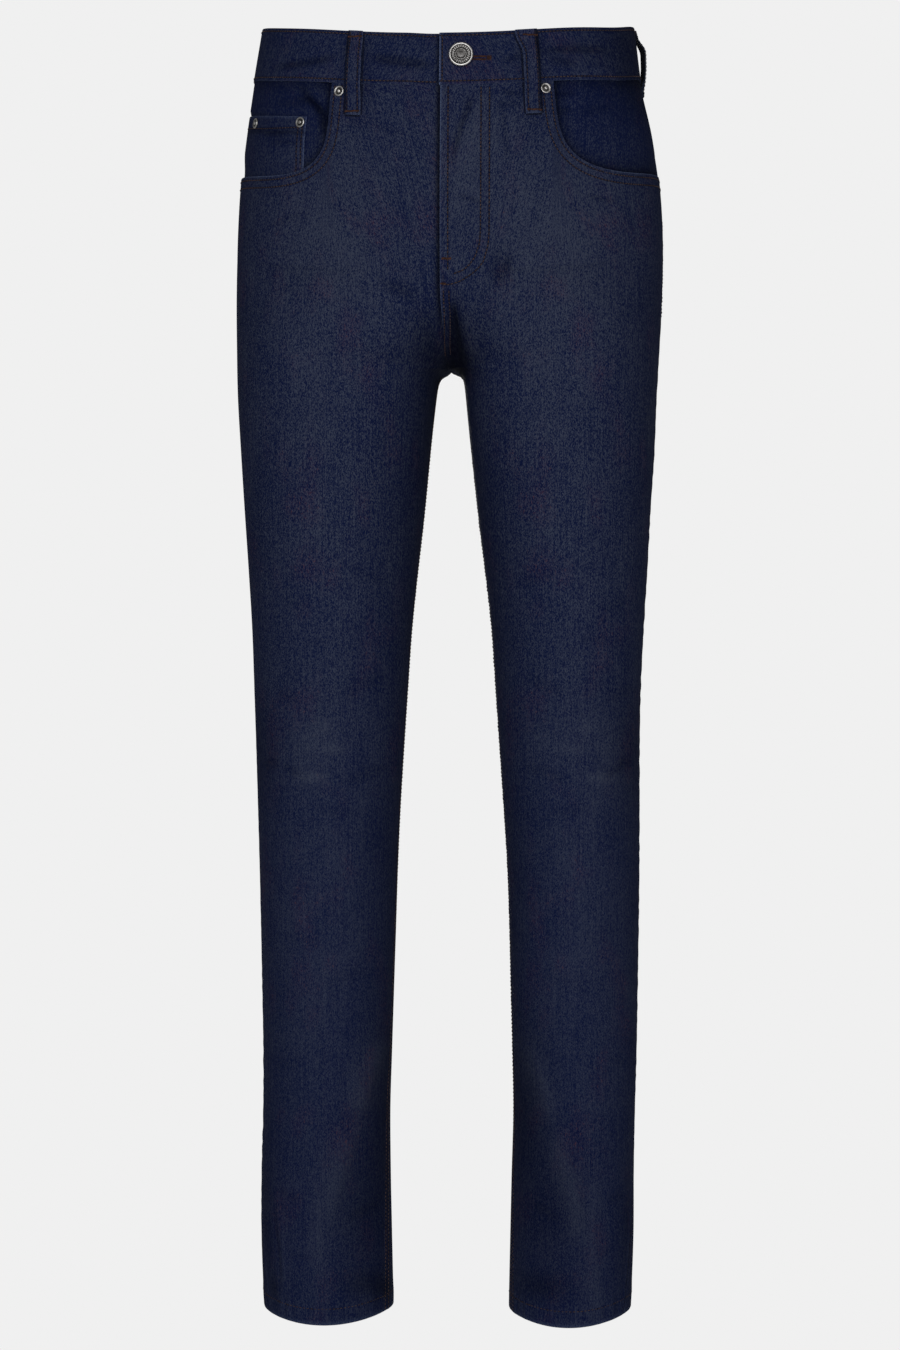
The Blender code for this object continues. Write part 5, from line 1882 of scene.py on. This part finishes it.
def buttonhole():
    """Keyhole in the waistband's end: worked edges and an end block."""
    side, angle, down = placed(np.linspace(0.0235, 0.0345, 24), np.full(24, BUTTONHOLE_Z))
    for way in (1, -1):
        for i in range(24):
            point, away = skin(side[i], angle[i], down[i], BAND_OUT)
            _, along = frame_of(side[i], angle[i], down[i])
            off = along / np.linalg.norm(along) * way
            ends = [point + off * reach for reach in (0.0003, 0.0021)]
            add_stitches("thread_tack", ends[0][None, :], ends[1][None, :], away[None, :], 0.00025)
    _, angle, down = placed(0.0370, BUTTONHOLE_Z)
    tack("thread_tack", 1, angle, down, BAND_OUT, 90, 0.0032, 0.0048, 0.00028)


def flat_area(made):
    """Area of one face of the cloth, from its outer grid."""
    mesh = made.data
    areas = np.empty(len(mesh.polygons))
    slots = np.empty(len(mesh.polygons), np.int32)
    mesh.polygons.foreach_get("area", areas)
    mesh.polygons.foreach_get("material_index", slots)
    return float(areas[slots == 0].sum())


def backdrop():
    """Pale floor that looks even to the camera, and the surround."""
    floor = bpy.data.meshes.new("floor")
    corners = [(x * FLOOR_HALF, y * FLOOR_HALF, FLOOR_Z) for x, y in ((-1, -1), (1, -1), (1, 1), (-1, 1))]
    floor.from_pydata(corners, [], [(0, 1, 2, 3)])
    n = Nodes("pale_floor")
    n.fed(n.shader, Base_Color=(0.80, 0.80, 0.80), Roughness=0.9)
    glow = n.fed(n.add("ShaderNodeEmission"), Color=(BACKDROP, BACKDROP, BACKDROP))
    either = n.add("ShaderNodeMixShader")
    for i, source in enumerate((n.add("ShaderNodeLightPath"), n.shader, glow)):
        n.link(source.outputs[0], either.inputs[i])
    n.link(either.outputs[0], n.tree.nodes["Material Output"].inputs["Surface"])
    floor.materials.append(n.made)
    made = bpy.data.objects.new("floor", floor)
    bpy.context.scene.collection.objects.link(made)

    world = bpy.data.worlds.new("surround")
    world.use_nodes = True
    bpy.context.scene.world = world
    tree = world.node_tree
    background = tree.nodes["Background"]
    background.inputs["Color"].default_value = (1, 1, 1, 1)
    level = tree.nodes.new("ShaderNodeMapRange")
    level.inputs["To Min"].default_value = SURROUND
    level.inputs["To Max"].default_value = BACKDROP
    tree.links.new(tree.nodes.new("ShaderNodeLightPath").outputs["Is Camera Ray"], level.inputs["Value"])
    tree.links.new(level.outputs["Result"], background.inputs["Strength"])


def aimed(name, data, place):
    """Lamp or camera at a place, turned to the middle of the garment."""
    made = bpy.data.objects.new(name, data)
    made.location = place
    made.rotation_mode = "QUATERNION"
    made.rotation_quaternion = (Vector(MIDDLE) - made.location).to_track_quat("-Z", "Y")
    bpy.context.scene.collection.objects.link(made)
    return made


def studio():
    """Backdrop, soft frontal light and the camera."""
    backdrop()
    for name, place, size, power in LIGHTS:
        light = bpy.data.lights.new(name, "AREA")
        light.shape = "RECTANGLE"
        light.size = size
        light.size_y = size
        light.energy = power
        aimed(name, light, place)
    camera = bpy.data.cameras.new("camera")
    camera.sensor_fit = "AUTO"
    camera.sensor_width = 36.0
    camera.lens = CAMERA_LENS
    camera.clip_end = 60.0
    turn = math.radians(CAMERA_TURN)
    place = (CAMERA_AWAY * math.sin(turn), -CAMERA_AWAY * math.cos(turn), MIDDLE[2])
    scene = bpy.context.scene
    scene.camera = aimed("camera", camera, place)
    scene.view_settings.view_transform = "Standard"
    scene.view_settings.look = "None"


dress()
studio()

# What a maker cuts for each remaining piece: width and length of the cloth that shows, metres
CUTS = (
    ("front_left_cloth", (0.290, 1.010), "stretched", ["waistband_cloth"]),
    ("front_right_cloth", (0.290, 1.010), "stretched", ["waistband_cloth"]),
    ("back_left_cloth", (0.330, 1.010), "stretched", ["yoke_left_cloth"]),
    ("back_right_cloth", (0.330, 1.010), "stretched", ["yoke_right_cloth"]),
    ("yoke_left_cloth", (0.210, 0.080), "stretched", ["waistband_cloth"]),
    ("yoke_right_cloth", (0.210, 0.080), "stretched", ["waistband_cloth"]),
    ("waistband_cloth", (0.980, 0.043), "stretched", ["yoke_left_cloth", "yoke_right_cloth"]),
    ("pocket_facing_left_cloth", (0.130, 0.100), "stretched", ["front_left_cloth"]),
    ("pocket_facing_right_cloth", (0.130, 0.100), "stretched", ["front_right_cloth"]),
)
for name, flat, held, rests in CUTS:
    piece = bpy.data.objects[name]
    min(flat_area(piece), flat[0] * flat[1])
